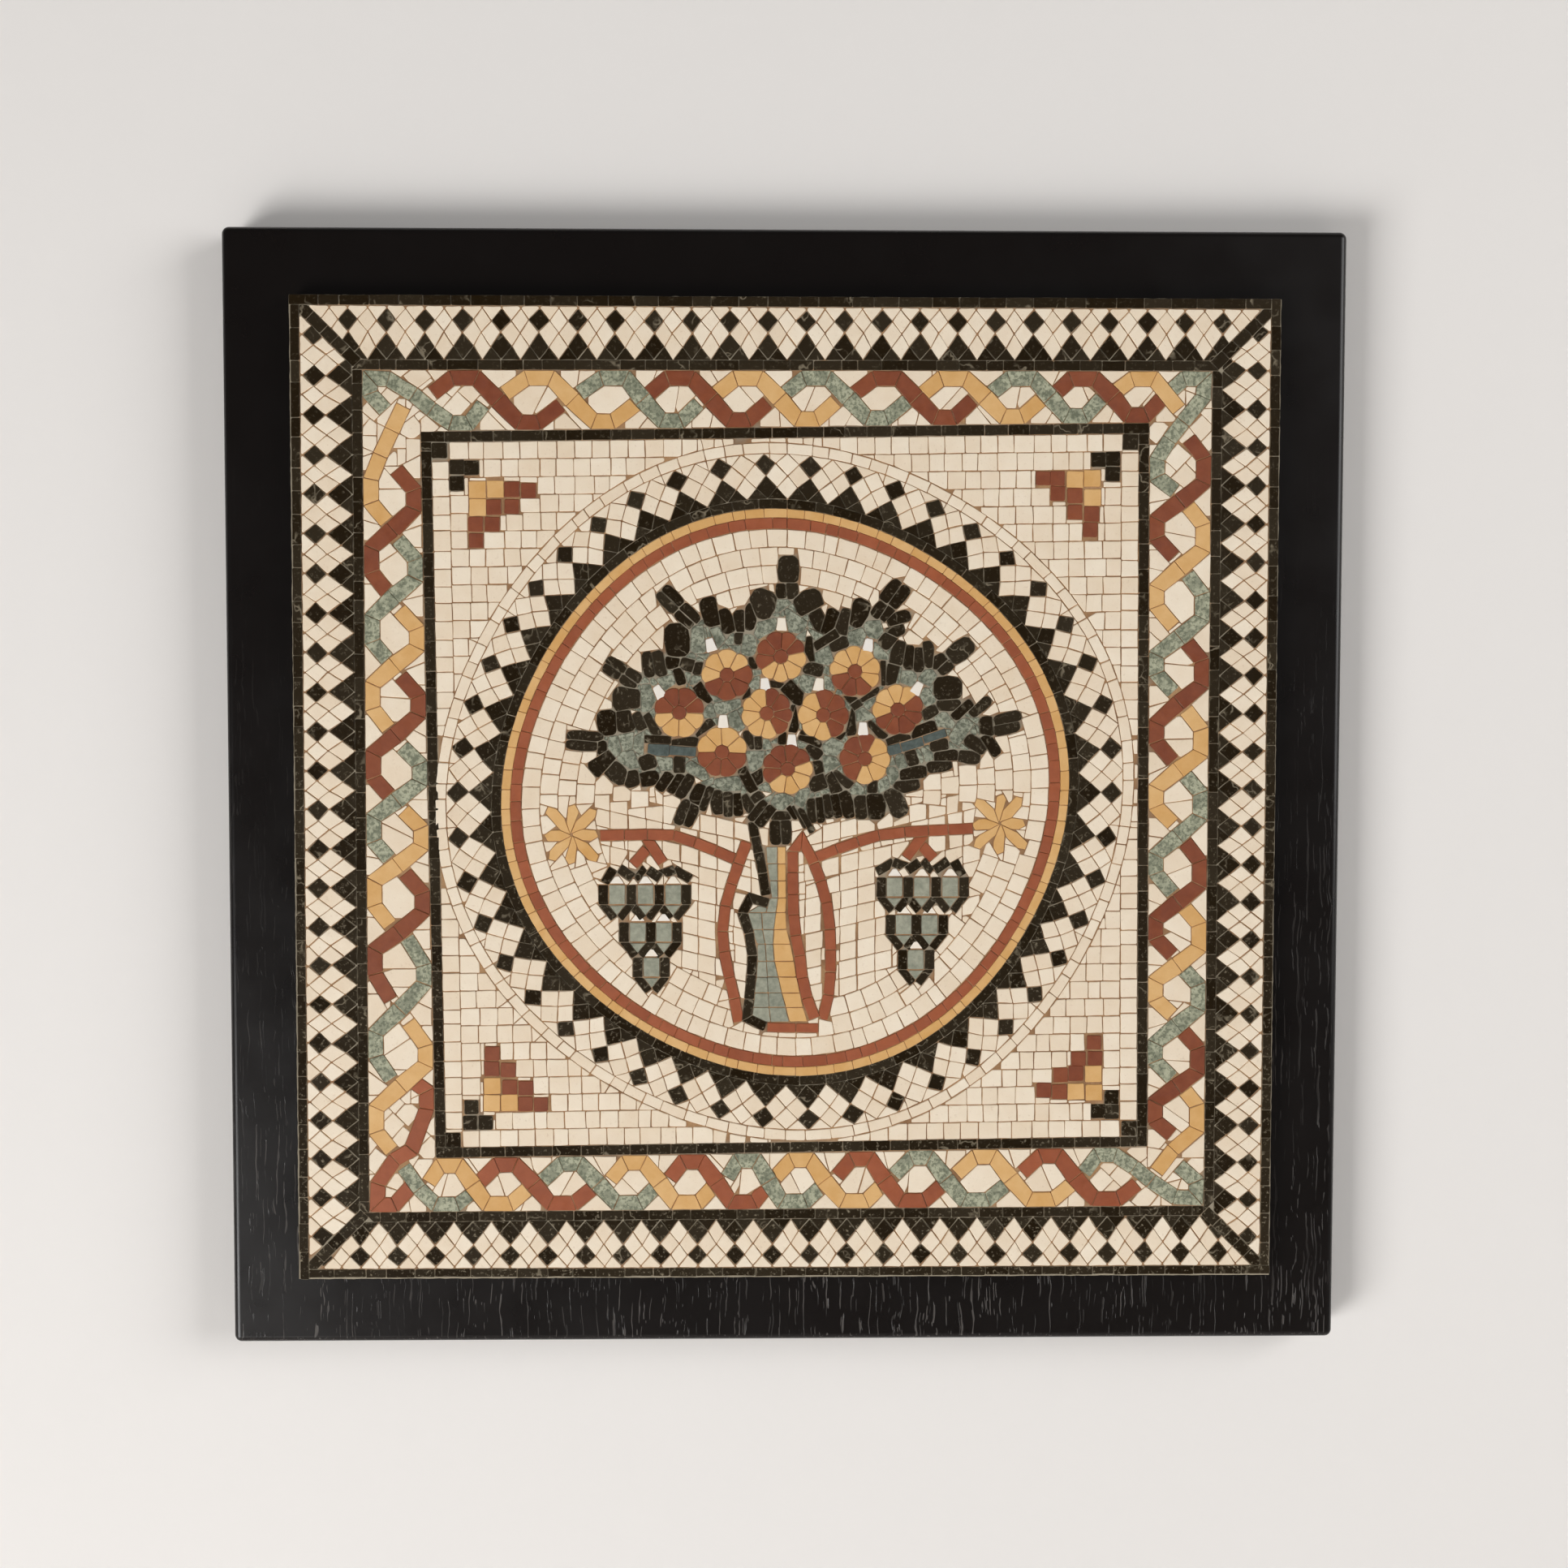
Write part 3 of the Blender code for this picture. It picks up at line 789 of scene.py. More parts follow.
def mortar_material():
    def make(m):
        where = m.place()
        share = m.span(m.noise(where, 90, 4), 0.35, 0.65)
        sand = m.span(m.noise(where, 1500, 2), 0.35, 0.65, 0, 0.35)
        base = m.mix(share, rgba("mortar"), rgba("mortar_dark"))
        tone = m.add("ShaderNodeAttribute", attribute_name="tone").outputs["Fac"]
        base = m.mix(sand, base, rgba("mortar_dark"))
        m.colour(m.mix(m.math("MULTIPLY", tone, 0.9), base, rgba("mortar_grey")))
        m.rough(0.92)
        m.bump(m.noise(where, 1200, 3), 0.6, 0.0002)
        return m
    return once("tan_mortar", make)


def wood_material():
    """Black stain with pale upright pores, partly real grain and partly painted glint, painted
    brightest along the bottom and fading out towards the top.
    """
    def make(m):
        coords = m.add("ShaderNodeTexCoord").outputs["Object"]
        height = m.add("ShaderNodeSeparateXYZ", {0: coords}).outputs["Z"]
        wave = m.add("ShaderNodeTexNoise", {"Vector": coords, "Scale": 55.0, "Detail": 2.0})
        bent = m.add("ShaderNodeMixRGB", {"Fac": 0.004, "Color1": coords,
                                          "Color2": wave.outputs["Color"]},
                     blend_type="ADD").outputs[0]
        long = m.add("ShaderNodeMapping", {"Vector": bent, "Scale": (1, 1, 0.014)}).outputs[0]
        pores = m.span(m.noise(long, 1300, 1, 0.5), 0.635, 0.66)
        bands = m.span(m.noise(m.add("ShaderNodeMapping", {
            "Vector": coords, "Scale": (1, 1, 0.3)}).outputs[0], 70, 2), 0.42, 0.6, 0.25, 1)
        # painted highlight: the pores are painted brighter towards the bottom and fade out at the
        # top
        low = m.math("POWER", m.span(height, -0.21, 0.2, 1, 0.1), 3.0)
        marks = m.math("MULTIPLY", m.math("MULTIPLY", pores, bands), low)
        m.colour(m.mix(m.math("MULTIPLY", marks, 0.65), rgba("wood"), rgba("wood_pore")))
        m.rough(m.span(m.noise(coords, 35, 3), 0.3, 0.7, 0.26, 0.34))
        m.shader.inputs["Specular IOR Level"].default_value = 0.3
        m.bump(m.math("SUBTRACT", 1.0, marks), 0.5, 0.0003)
        return m
    return once("black_stained_wood", make)


# The board and the mortar

def make_board():
    """A solid board whose edges are rounded all round."""
    sizes = bpy.context.scene.mosaic_sizes
    low, high = Vector(BOARD_LOW), Vector(BOARD_HIGH)
    bm = bmesh.new()
    bmesh.ops.create_cube(bm, size=1)
    for v in bm.verts:
        v.co = Vector([low[i] + (high[i] - low[i]) * (v.co[i] + 0.5) for i in range(3)])
    bmesh.ops.bevel(bm, geom=bm.edges[:], offset=sizes.board_edge, segments=8, profile=0.5,
                    affect="EDGES")
    mesh = bpy.data.meshes.new("board_wood")
    bm.to_mesh(mesh)
    bm.free()
    mesh.shade_smooth()
    mesh.set_sharp_from_angle(angle=math.radians(40))
    mesh.materials.append(wood_material())
    obj = bpy.data.objects.new("board_wood", mesh)
    finished(obj, ["board"])


def make_mortar():
    """The mortar bed fills the joints to just below the stones, greyer between dark ones."""
    sizes = bpy.context.scene.mosaic_sizes
    step, count = 2.5, 160              # the bed is a grid of small squares
    half = count * step / 2
    reach = half - 0.15
    bm = bmesh.new()
    tone = bm.verts.layers.float.new("tone")
    rows = []
    for j in range(count + 1):
        row = []
        for i in range(count + 1):
            x = max(min(i * step - half, reach), -reach)
            z = max(min(j * step - half, reach), -reach)
            y = FACE - sizes.recess / MM + 0.06 * noise("mortar", i, j)
            if i in (0, count) or j in (0, count):
                y -= 0.15
                x *= 1 + 0.0006 * noise("edge x", i, j)
                z *= 1 + 0.0006 * noise("edge z", i, j)
            row.append(bm.verts.new((x * MM, -y * MM, z * MM)))
            row[-1][tone] = layout.greyness(x, z)
        rows.append(row)
    for j in range(count):
        for i in range(count):
            bm.faces.new((rows[j][i], rows[j][i + 1], rows[j + 1][i + 1], rows[j + 1][i]))
    rim = [rows[0][i] for i in range(count)] + [rows[j][count] for j in range(count)]
    rim += [rows[count][i] for i in range(count, 0, -1)]
    rim += [rows[j][0] for j in range(count, 0, -1)]
    under = [bm.verts.new((v.co.x, -BED_BACK * MM, v.co.z)) for v in rim]
    for i in range(len(rim)):
        j = (i + 1) % len(rim)
        bm.faces.new((rim[j], rim[i], under[i], under[j]))
    bm.faces.new(under[::-1])
    bmesh.ops.recalc_face_normals(bm, faces=bm.faces)
    mesh = bpy.data.meshes.new("mortar")
    bm.to_mesh(mesh)
    bm.free()
    mesh.materials.append(mortar_material())
    finished(bpy.data.objects.new("mortar", mesh), ["setting_bed"])


# Straight lines and the toothed band

def make_edge_line():
    rng = random.Random("edge line")
    stones = []
    for k in range(4):
        for a, b in pairs(stations(rng, -HALF, EDGE_IN, 10.6, 0.2)):
            out = HALF - EDGE_MORTAR[k] * (1 + 0.4 * noise("out", k, a))
            layout.lay(stones, quarter(box(a, EDGE_IN, b, out), k), "black")
    build("edge_line_stones", stones, ["edge_line"])


def along_side(quad, k, s):
    """How far out an out-of-square line is on a side, at a distance along it."""
    a, b = quad[k], quad[(k + 1) % 4]
    (a,), (b,) = quarter([a], -k % 4), quarter([b], -k % 4)
    return a[1] + (b[1] - a[1]) * (s - a[0]) / (b[0] - a[0])


def second_edge(k, s):
    return along_side(SECOND_LINE, k, s)


def inner_edge(k, s):
    return along_side(INNER_LINE, k, s)


OUTER_SECOND = [(x + math.copysign(SECOND_WIDTH, x), z + math.copysign(SECOND_WIDTH, z))
                for x, z in SECOND_LINE]


def make_mitres():
    rng = random.Random("mitres")
    for k, corner in enumerate(CORNERS):
        stones = []
        start, end = TOOTH_BASE - 1.5, EDGE_IN - 0.2
        route = [(d, d) for d in stations(rng, start, end, 4.4)]
        for shape in ribbon(route, MITRE_WIDTH):
            shape = cut(shape, (EDGE_IN, 0), (1, 0))
            shape = cut(shape, (0, EDGE_IN), (0, 1))
            layout.lay(stones, quarter(shape, k), "black")
        build("mitre_stones_" + corner, stones, ["mitre_" + corner])


# Along each side: where the first tooth stands, and how far apart they are
TOOTH_ROWS = ((-161.0, 15.32), (-171.0, 15.42), (-163.0, 15.35), (-166.0, 15.9))
ROWS = (0.0, 5.2, 10.9, 15.8, 20.5, 26.0, 31.0)     # heights of the lozenges' corners


def lozenge(corner, i, j):
    """One lozenge of a toothed band, or the half of one that stands on its line."""
    if j == 0:
        return turned([corner(i - 1, 0), corner(i + 1, 0), corner(i, 1)])
    return turned([corner(i - 1, j), corner(i, j - 1), corner(i + 1, j), corner(i, j + 1)])


def lozenges(place, first, pitch, last, key):
    """Every lozenge of a toothed band: its outline and whether it is black."""
    half = pitch / 4

    def corner(i, j):
        if j == 0:
            return place(first + i * half, 0.0)
        tip = (i % 4 == 1) - (i % 4 == 3) if j in (1, 3) else 0
        return place(first + (i + 0.05 * tip + 0.09 * noise(key, i, j, 0)) * half,
                     ROWS[j] + 0.3 * noise(key, i, j, 1))
    for i in range(-6, int(4 * (last - first) / pitch) + 8):
        for j in range(0, 6):
            if (i + j) % 2 == 0:
                continue
            yield lozenge(corner, i, j), j == 0 or (j in (1, 3) and i % 4 == 0)


def make_teeth():
    rng = random.Random("teeth")
    pale = []
    for k, side in enumerate(SIDES):
        stones = []
        for shape in row_along(rng, OUTER_SECOND[k], OUTER_SECOND[(k + 1) % 4], SECOND_WIDTH,
                               9.8, 0.2):
            layout.fit(stones, shape, "black", 5)

        def place(s, u):
            base = second_edge(k, s) + SECOND_WIDTH
            return (s, base + u * (EDGE_IN - base) / TOOTH_BAND)
        first, pitch = TOOTH_ROWS[k]
        slant = 1 / math.sqrt(2)
        rest = []
        for shape, tooth in lozenges(place, first, pitch, 180, "band" + side):
            shape = cut(shape, (0, EDGE_IN - 0.1), (0, 1))
            for sign in (-1, 1):
                at = (sign * (TOOTH_BASE - 3.35), TOOTH_BASE)
                shape = cut(shape, at, (sign * slant, -slant))
            if len(shape) < 3 or area(shape) < 2.5 or thickness(shape) < 0.8:
                continue
            if tooth and len(shape) == 4:
                cz = centre(shape)[1]
                shape = [(x, cz + (z - cz) * 0.94) for x, z in shape]
            shape = quarter(turned(shape), k)
            if tooth:
                layout.lay(stones, shape, "black")
            else:
                rest.append(shape)
        for shape in rest:
            layout.fit(pale, shape, "cream", 2.5, 0.7)
        build("teeth_stones_" + side, stones, ["teeth_" + side])
    build("pale_lozenges", pale)


# The plaited band

# Where each strand's outer bend is along its side, clockwise
PLAIT = (
    (-130, -100, -70, -43.5, -16, 11.5, 40, 67, 94.6, 119.6, 144.5),
    (-131, -104, -76, -49, -21, 5, 33, 59, 84, 110, 134),
    (-132, -105, -78, -52, -28, -3, 18, 41, 65, 92, 118, 140),
    (-134, -103, -69, -41, -15, 11, 39, 66, 94, 122))
CORNER_STRANDS = ("green", "green", "rust", "green")
STRAND_COLOURS = ("red", "yellow", "green")


# How the last strand of a side runs into the corner, as (along, outward)
LAST = (((131.5, 161), (139.5, 167.1), (148.4, 167.1), (158.6, 155.4)),
        ((121.5, 161), (129, 167.1), (139, 167.1), (147.4, 159.4), (156.4, 152.6)),
        ((127.5, 161), (135, 167.1), (144, 167.1), (150.4, 160.6), (156.8, 153.4)),
        ((109.5, 161), (117, 167.1), (126.4, 167.1), (136, 163.2), (146, 159), (155.6, 154.4)))
TURN = ((154.0, 161.6), (160.6, 167.2), (167.0, 167.0), (166.6, 160.4), (160.4, 150.4))


def outer_next(k):
    """How far out the strands' middle is on the next side, where it starts."""
    return second_edge((k + 1) % 4, -166) - 3.2


def make_plait():
    """Strands that cross in turn: the slanting stones lie over the hooks at their ends."""
    groups = {side: [] for side in SIDES}
    hooks = []
    colour = 0
    wide = STRAND
    for k, side in enumerate(SIDES):
        def outer(s):
            return second_edge(k, s) - 0.1 - wide / 2
        bends = PLAIT[k]
        for i, here in enumerate(bends):
            before = (here - bends[i - 1]) / PLAIT_PITCH if i else 1
            after = (bends[i + 1] - here) / PLAIT_PITCH if i + 1 < len(bends) else 1
            if i + 1 == len(bends):
                route = [(s, u + (outer(s) - STRAND_OUT) * (u > 160)) for s, u in LAST[k]]
            else:
                foot = here + 20.2 * after
                inner = inner_edge(k, foot) + 0.2 + wide / 2
                high = outer(here)
                route = [(here - 12.6 * before, high - 6.2), (here - 4.9, high),
                         (here + 4.9, high),
                         ((here + 4.9 + foot) / 2 + 0.8 * noise("half", k, i), (high + inner) / 2),
                         (foot, inner), (foot + 7.6, inner), (foot + 15.4 * after, inner + 7.0)]
            name = STRAND_COLOURS[colour % 3]
            if k == 2 and name == "red":
                name = "rust"
            widths = [wide, wide, wide, 7.2, wide, wide, wide]
            shapes = ribbon(quarter(route, k), widths if len(route) == 7 else wide)
            last = len(shapes) - (i + 1 < len(bends))
            for shape in shapes[1:last]:
                layout.fit(groups[side], shape, name, 5)
            hooks += [(side, shape, name) for shape in shapes[:1] + shapes[last:]]
            colour += 1
        colour += 1
        flat = inner_edge((k + 1) % 4, -131) + 0.2 + wide / 2
        low = -4.5 if k == 2 else 1.5
        hook = [((160.4 + flat) / 2 - 0.3, 144 - low / 2), (flat, 134 + low), (flat, 126.6 + low),
                (flat + 7.4, 121 + low)]
        aside, ahead = outer(166) - STRAND_OUT, outer_next(k) - STRAND_OUT
        turn = [(x + ahead * (x > 162), z + aside * (z > 164)) for x, z in TURN]
        shapes = ribbon(quarter(turn + hook, k), wide)
        for shape in shapes[1:-1]:
            layout.fit(groups[side], shape, CORNER_STRANDS[k], 4)
        hooks += [(side, shapes[0], CORNER_STRANDS[k]), (side, shapes[-1], CORNER_STRANDS[k])]
    for side, shape, name in hooks:
        layout.fit(groups[side], shape, name, 5)
    for side in SIDES:
        build("plait_" + side, groups[side], ["braid_" + side])


def split(shape, at, tilt, parted=True):
    """A stone, or the two stones that a leaning joint makes of it."""
    if not parted:
        return [shape]
    n = (math.cos(math.radians(tilt)), math.sin(math.radians(tilt)))
    return [part for part in (cut(shape, at, n), cut(shape, at, (-n[0], -n[1]))) if len(part) > 2]


def make_plait_ground():
    """Pale eyes between the strands, and pale triangles along both edges."""
    stones = []
    for k in range(4):
        bends = PLAIT[k]
        for i, here in enumerate(bends):
            following = bends[i + 1] if i + 1 < len(bends) else here + 27
            step = following - here
            eye = here + 0.99 * step
            base, top = inner_edge(k, eye), second_edge(k, eye)
            for shape in split(box(eye - 10, base + 5.8, eye + 10, top - 5.8),
                               (eye + 3 * noise("eye", k, i), (base + top) / 2),
                               45 * noise("tilt", k, i), abs(noise("one", k, i)) > 0.3):
                layout.fit(stones, quarter(shape, k), "cream", 7, 1.6)
            high = here + (0.5 + 0.1 * noise("high", k, i)) * step
            for shape in split(box(high - 7, top - 9.4, high + 7, top), (high, top - 4),
                               40 * noise("high tilt", k, i), noise("high", k, i) > 0.2):
                layout.fit(stones, quarter(shape, k), "cream", 6, 1.3)
            low = here + 0.47 * step
            for shape in split(box(low - 8, base, low + 8, base + 9.4), (low, base + 3),
                               45 * noise("low tilt", k, i)):
                layout.fit(stones, quarter(shape, k), "cream", 6, 1.3)

    field, second = inside_shape(list(INNER_LINE)), inside_shape(list(SECOND_LINE))

    def band(x, z):
        return 144 < max(abs(x), abs(z)) and second(x, z) and not field(x, z)
    layout.pack(stones, spots(-172, -172, 172, 172, 1.3, band, "plait"), "cream",
                PACKED, 1.8, 0.7, lean=lambda x, z: 45)
    build("plait_ground", stones)


def row_along(rng, a, b, width, step, spread=0.12):
    """Square-ended stones on the right of a line, from one point to another."""
    run = math.dist(a, b)
    nx, nz = (b[1] - a[1]) / run * width, (a[0] - b[0]) / run * width
    for t0, t1 in pairs(stations(rng, 0, 1, step / run, spread)):
        p, q = between(a, b, t0), between(a, b, t1)
        yield turned([p, q, (q[0] + nx, q[1] + nz), (p[0] + nx, p[1] + nz)])


def make_inner_line():
    rng = random.Random("inner line")
    stones = []
    for k in range(4):
        for shape in row_along(rng, INNER_LINE[k], INNER_LINE[(k + 1) % 4], INNER_WIDTH, 9.6, 0.2):
            layout.fit(stones, shape, "black", 5)
    build("inner_line_stones", stones, ["inner_line"])


def inset_quad(quad, distance):
    """The four corners moved inward, in the same order."""
    shape = shrunk(turned(quad), distance)
    ordered = []
    for corner in quad:
        ordered.append(min(shape, key=lambda p: math.dist(p, corner)))
    return ordered


# Corner ornaments: stones as in-from-the-corner distances for the field's own corner

def make_corners():
    field = inset_quad(INNER_LINE, INNER_WIDTH)
    order = (1, 2, 3, 0)
    groups = {"black": ((0.0, 0.0, 6.4), (7.2, 7.4, 6.0), (13.2, 7.4, 6.0), (7.4, 13.4, 6.0)),
              "yellow": ((15.2, 14.8, 7.0), (22.4, 14.8, 7.0), (15.4, 22.0, 7.0)),
              "red": ((29.6, 14.8, 6.2), (36.0, 14.8, 6.0), (29.4, 21.2, 6.2), (22.8, 22.0, 6.4),
                      (22.8, 28.8, 6.2), (15.8, 29.2, 6.4), (16.2, 35.8, 6.2))}
    for k, corner in enumerate(CORNERS):
        cx, cz = field[order[k]]
        sx, sz = (-1 if cx > 0 else 1), (-1 if cz > 0 else 1)
        swap = k in (1, 3)
        for name, tiles in groups.items():
            stones = []
            for n, (u, v, size) in enumerate(tiles):
                if swap:
                    u, v = v, u
                u += 0.35 * noise(corner, name, n, "u")
                v += 0.35 * noise(corner, name, n, "v")
                x, z = cx + sx * (u + size / 2), cz + sz * (v + size / 2)
                shape = bar(x, z, 1.5 * noise(corner, name, n), size, size)
                layout.lay(stones, shape, name, round=1.2)
            build(f"corner_{name}_stones_{corner}", stones, [f"corner_{name}_{corner}"])


# The round border

ROUND_TEETH = 46
ROUND_ROWS = (0.0, 4.6, 9.4, 14.0, 18.2, 22.0)
FIRST_TOOTH = math.radians(4)


def make_round_teeth():
    rng = random.Random("round teeth")
    black, pale = [], []
    for shape in ring_row(rng, ROUND, ROUND_IN, 10.0, 0.2):
        layout.lay(black, shape, "black")
    pitch = 2 * math.pi / ROUND_TEETH
    for shape in ring_row(rng, ROUND + 22.6, ROUND + 18.2, 8.6, 0.2):
        layout.lay(pale, shape, "cream")

    def place(s, u):
        return ring_point(ROUND + u, FIRST_TOOTH + s)
    rest = []
    for n in range(ROUND_TEETH):
        def corner(i, j):
            m = (4 * n + i) % (4 * ROUND_TEETH)
            if j == 0:
                return place((4 * n + i) * pitch / 4, 0.0)
            return place((4 * n + i + 0.09 * noise("round", m, j, 0)) * pitch / 4,
                         ROUND_ROWS[j] + 0.3 * noise("round", m, j, 1))
        for i in range(-1, 3):
            for j in range(5):
                if (i + j) % 2 == 0:
                    continue
                shape = lozenge(corner, i, j)
                if j == 0 or (j in (1, 3) and i == 0):
                    if j == 3:
                        cx, cz = centre(shape)
                        shape = [(cx + (x - cx) * 0.97, cz + (z - cz) * 0.97) for x, z in shape]
                    layout.lay(black, shape, "black")
                else:
                    rest.append(shape)
    for shape in rest:
        layout.fit(pale, shape, "cream", 2.5, 0.7)

    def bare(x, z):
        angle = math.atan2(x, z)
        return 0.5 < math.hypot(x, z) - math.hypot(*ring_point(ROUND, angle)) < 18
    layout.pack(pale, spots(-143, -143, 143, 143, 1.5, bare, "round"), "cream",
                (1.7, 1.1, 0.8), 2.0, 0.8, lean=around)
    build("round_teeth_stones", black, ["round_teeth"])
    build("round_pale_stones", pale)


def make_rings():
    rng = random.Random("rings")
    for name, outer, inner, colour in (("yellow_ring", ROUND_IN, YELLOW_IN, "yellow"),
                                       ("red_ring", YELLOW_IN, RED_IN, "rust")):
        stones = []
        for shape in ring_row(rng, outer, inner, 7.6, 0.25):
            layout.lay(stones, shape, colour, close=0.5)
        build(name + "_stones", stones, [name])


# The tree

# Fruit: centre, and where the yellow wedges start and end, in degrees
FRUIT = ((-2.5, 55.3, -130, 20), (-24.4, 47.9, 10, 200), (27.6, 49.4, -30, 175),
         (-43.7, 32.6, 200, 340), (-8.2, 32.3, 100, 280), (14.8, 31.6, 100, 300),
         (45.1, 33.8, 50, 200), (-26.4, 16.6, 10, 170), (0.3, 9.6, -150, 20),
         (31.7, 13.8, -110, 70))
CALYX = ((-2.2, 68.4, 0), (-31, 60, 15), (33, 60, -10), (-52, 41, 30), (-9, 44, 5),
         (13, 44, -8), (53, 42.5, -30), (-26, 29, 0), (2, 21, 0), (31, 26, 0))


def make_fruit():
    for n, (x, z, start, end) in enumerate(FRUIT, 1):
        stones = []
        core = oval(x, z, 20 * n, 6.2, 6.0, 8, 2)
        layout.lay(stones, core, "red", round=0.6, close=0.6)
        count = 8 + n % 2
        for i in range(count):
            a0 = 360 * i / count + 11 * n + 4 * noise("fruit", n, i)
            a1 = 360 * (i + 1) / count + 11 * n + 4 * noise("fruit", n, (i + 1) % count)
            mid = (a0 + a1) / 2
            inside = (mid - start) % 360 < (end - start) % 360
            shape = []
            for angle, radius in ((a0, 3.0), (a0, 9.6), ((a0 + mid) / 2, 10.3),
                                  (mid, 10.5), ((a1 + mid) / 2, 10.3), (a1, 9.6), (a1, 3.0)):
                a = math.radians(angle)
                shape.append((x + radius * math.cos(a), z + radius * math.sin(a)))
            layout.lay(stones, shape, "yellow" if inside else "red", close=0.7)
        build(f"fruit_stones_{n}", stones, [f"fruit_{n}"])
    stones = []
    for x, z, turn in CALYX:
        shape = ((-2.4, -2.8), (2.4, -2.8), (1.6, 2.8), (-1.6, 2.8))
        layout.lay(stones, placed(shape, x, z, turn), "white", round=1.5)
    build("fruit_tops", stones)


# Dark leaves of the crown: centre, turn in degrees, length and width
LEAVES = (
    # the fingers
    (0.5, 90.4, 90, 10.4, 7.6), (-2.3, 82, 90, 5.4, 3.6), (1.9, 82, 90, 6, 4.2),
    (-46.2, 79.6, -46, 9.6, 3.5), (-48.6, 77.2, -46, 9.6, 3.5), (-39.4, 72.8, -46, 9, 3.6),
    (-41.8, 70.4, -46, 8, 3.5), (42, 81.8, 50, 10, 4.2), (45.4, 79.4, 50, 10, 4.2),
    (37.4, 74.2, 52, 6.4, 4), (40.6, 72.8, 52, 6, 3.4), (-69.2, 51.6, -31, 8.4, 3.5),
    (-71, 49.2, -31, 7, 3.2), (-62.6, 47.4, -31, 6.4, 3.6), (-64.4, 45, -31, 6.6, 3.2),
    (70.4, 57.8, 37, 11, 7), (61.6, 53.4, 37, 6, 4), (64.6, 51, 37, 6, 3.4),
    (-82, 22.8, -3, 14, 3.4), (-83, 19.3, -3, 12.6, 3.3), (-75.4, 18, -3, 3.4, 5.4),
    (81.4, 27, 5, 5, 7.4), (89.8, 30.2, 14, 10.6, 3.9), (89.4, 26.2, 13, 10.4, 3.8),
    (-42.4, -8, 66, 10, 3.7), (-38.9, -9, 66, 9.6, 3.5), (-36.4, -1, 66, 8.4, 4.4),
    (-32.8, -2.6, 66, 9.4, 3.4),
    # the rim, clockwise from the top
    (8.8, 77, 20, 10.6, 9.4), (12.4, 70.6, 112, 9.6, 4.8), (16.8, 69.6, 58, 10, 5.4),
    (23.4, 69.4, 76, 9.8, 5.6), (28.9, 73, 64, 11, 7), (45.4, 70.6, 20, 8.8, 4.6),
    (43.8, 65.8, 18, 7, 4.2), (41, 62, 45, 6.6, 5), (45, 55.8, 76, 11, 5), (49.6, 55, 88, 9, 3.8),
    (53.4, 54, 90, 9, 3.7), (57.6, 56.2, 100, 10, 4.2), (65.4, 42.4, 0, 10.6, 9),
    (65.8, 35.8, 0, 9, 4), (58, 32.6, 30, 6.6, 3.6), (71.2, 33.8, 38, 9.2, 4.2),
    (78.6, 35, 40, 9.4, 3.7), (76.8, 19.6, -35, 8.8, 4.6), (83, 19.2, -52, 9, 4.2),
    (74, 14.4, -8, 8.6, 4.2), (65, 14.8, 5, 9.2, 4.2), (62, 10.8, 9, 9.6, 3.9),
    (51.6, 7.8, 10, 10.4, 4.6), (48.8, 2.8, 10, 9.6, 4.4), (44.4, -4.2, -62, 11.6, 6.6),
    (36, -5.6, 90, 9.8, 7.2), (30.2, -6, 90, 8.6, 5.2), (24.4, -5, 106, 10.6, 4.5),
    (20, -5, 103, 10, 3.2), (16.6, -5.6, 98, 8.8, 3.1), (13.4, -7.2, 95, 9.4, 3.2),
    (10.4, -7.4, 98, 9, 3.1), (7.4, -11.6, -58, 10.4, 3.2), (4.8, -10.2, -58, 9.6, 3.2),
    (2.6, -8, -50, 5, 3), (-4.5, -16.2, 90, 9.4, 3.9), (-0.6, -16, 90, 9.4, 3.7),
    (-2.4, -9.7, 0, 6.8, 3), (-8.8, -9.6, 48, 9, 4.5), (-12.2, -7.2, 48, 9, 4.2),
    (-15.6, -4.4, 118, 7, 4), (-12.2, -2.4, 40, 5, 3.4), (-20, -5, 94, 8.4, 3.7),
    (-24, -4.8, 92, 9.2, 4), (-28.2, -4, 96, 9, 4.4), (-41.6, 2.6, 60, 9.6, 4.2),
    (-45.2, 3.8, 55, 8, 3.8), (-49.8, 4.4, 50, 7.6, 4.4), (-56.2, 5.6, 10, 7.6, 5),
    (-63, 5.6, 20, 6, 5.6), (-69.4, 8.2, -40, 10, 6.6), (-75, 11.8, 40, 10, 8.4),
    (-73, 28.4, 96, 9.4, 7.2), (-65.8, 29.4, 100, 9, 6.8), (-60, 29, 120, 6.6, 4.2),
    (-54.4, 27.6, -54, 9.4, 4.2), (-65.2, 38, 0, 10.2, 9.6), (-56.2, 52, 98, 9.6, 3.8),
    (-51.8, 52.4, 106, 9.6, 4.6), (-44.6, 61.8, 94, 13, 9.2), (-46.6, 52.8, 0, 5, 4.4),
    (-30.8, 73.4, 106, 11.2, 7), (-24.8, 69.6, 112, 9.4, 5.2), (-19, 69.6, 96, 8, 4.4),
    (-14.9, 71.4, 78, 10.4, 4.6), (-10.2, 76.6, 70, 10.8, 9.8))
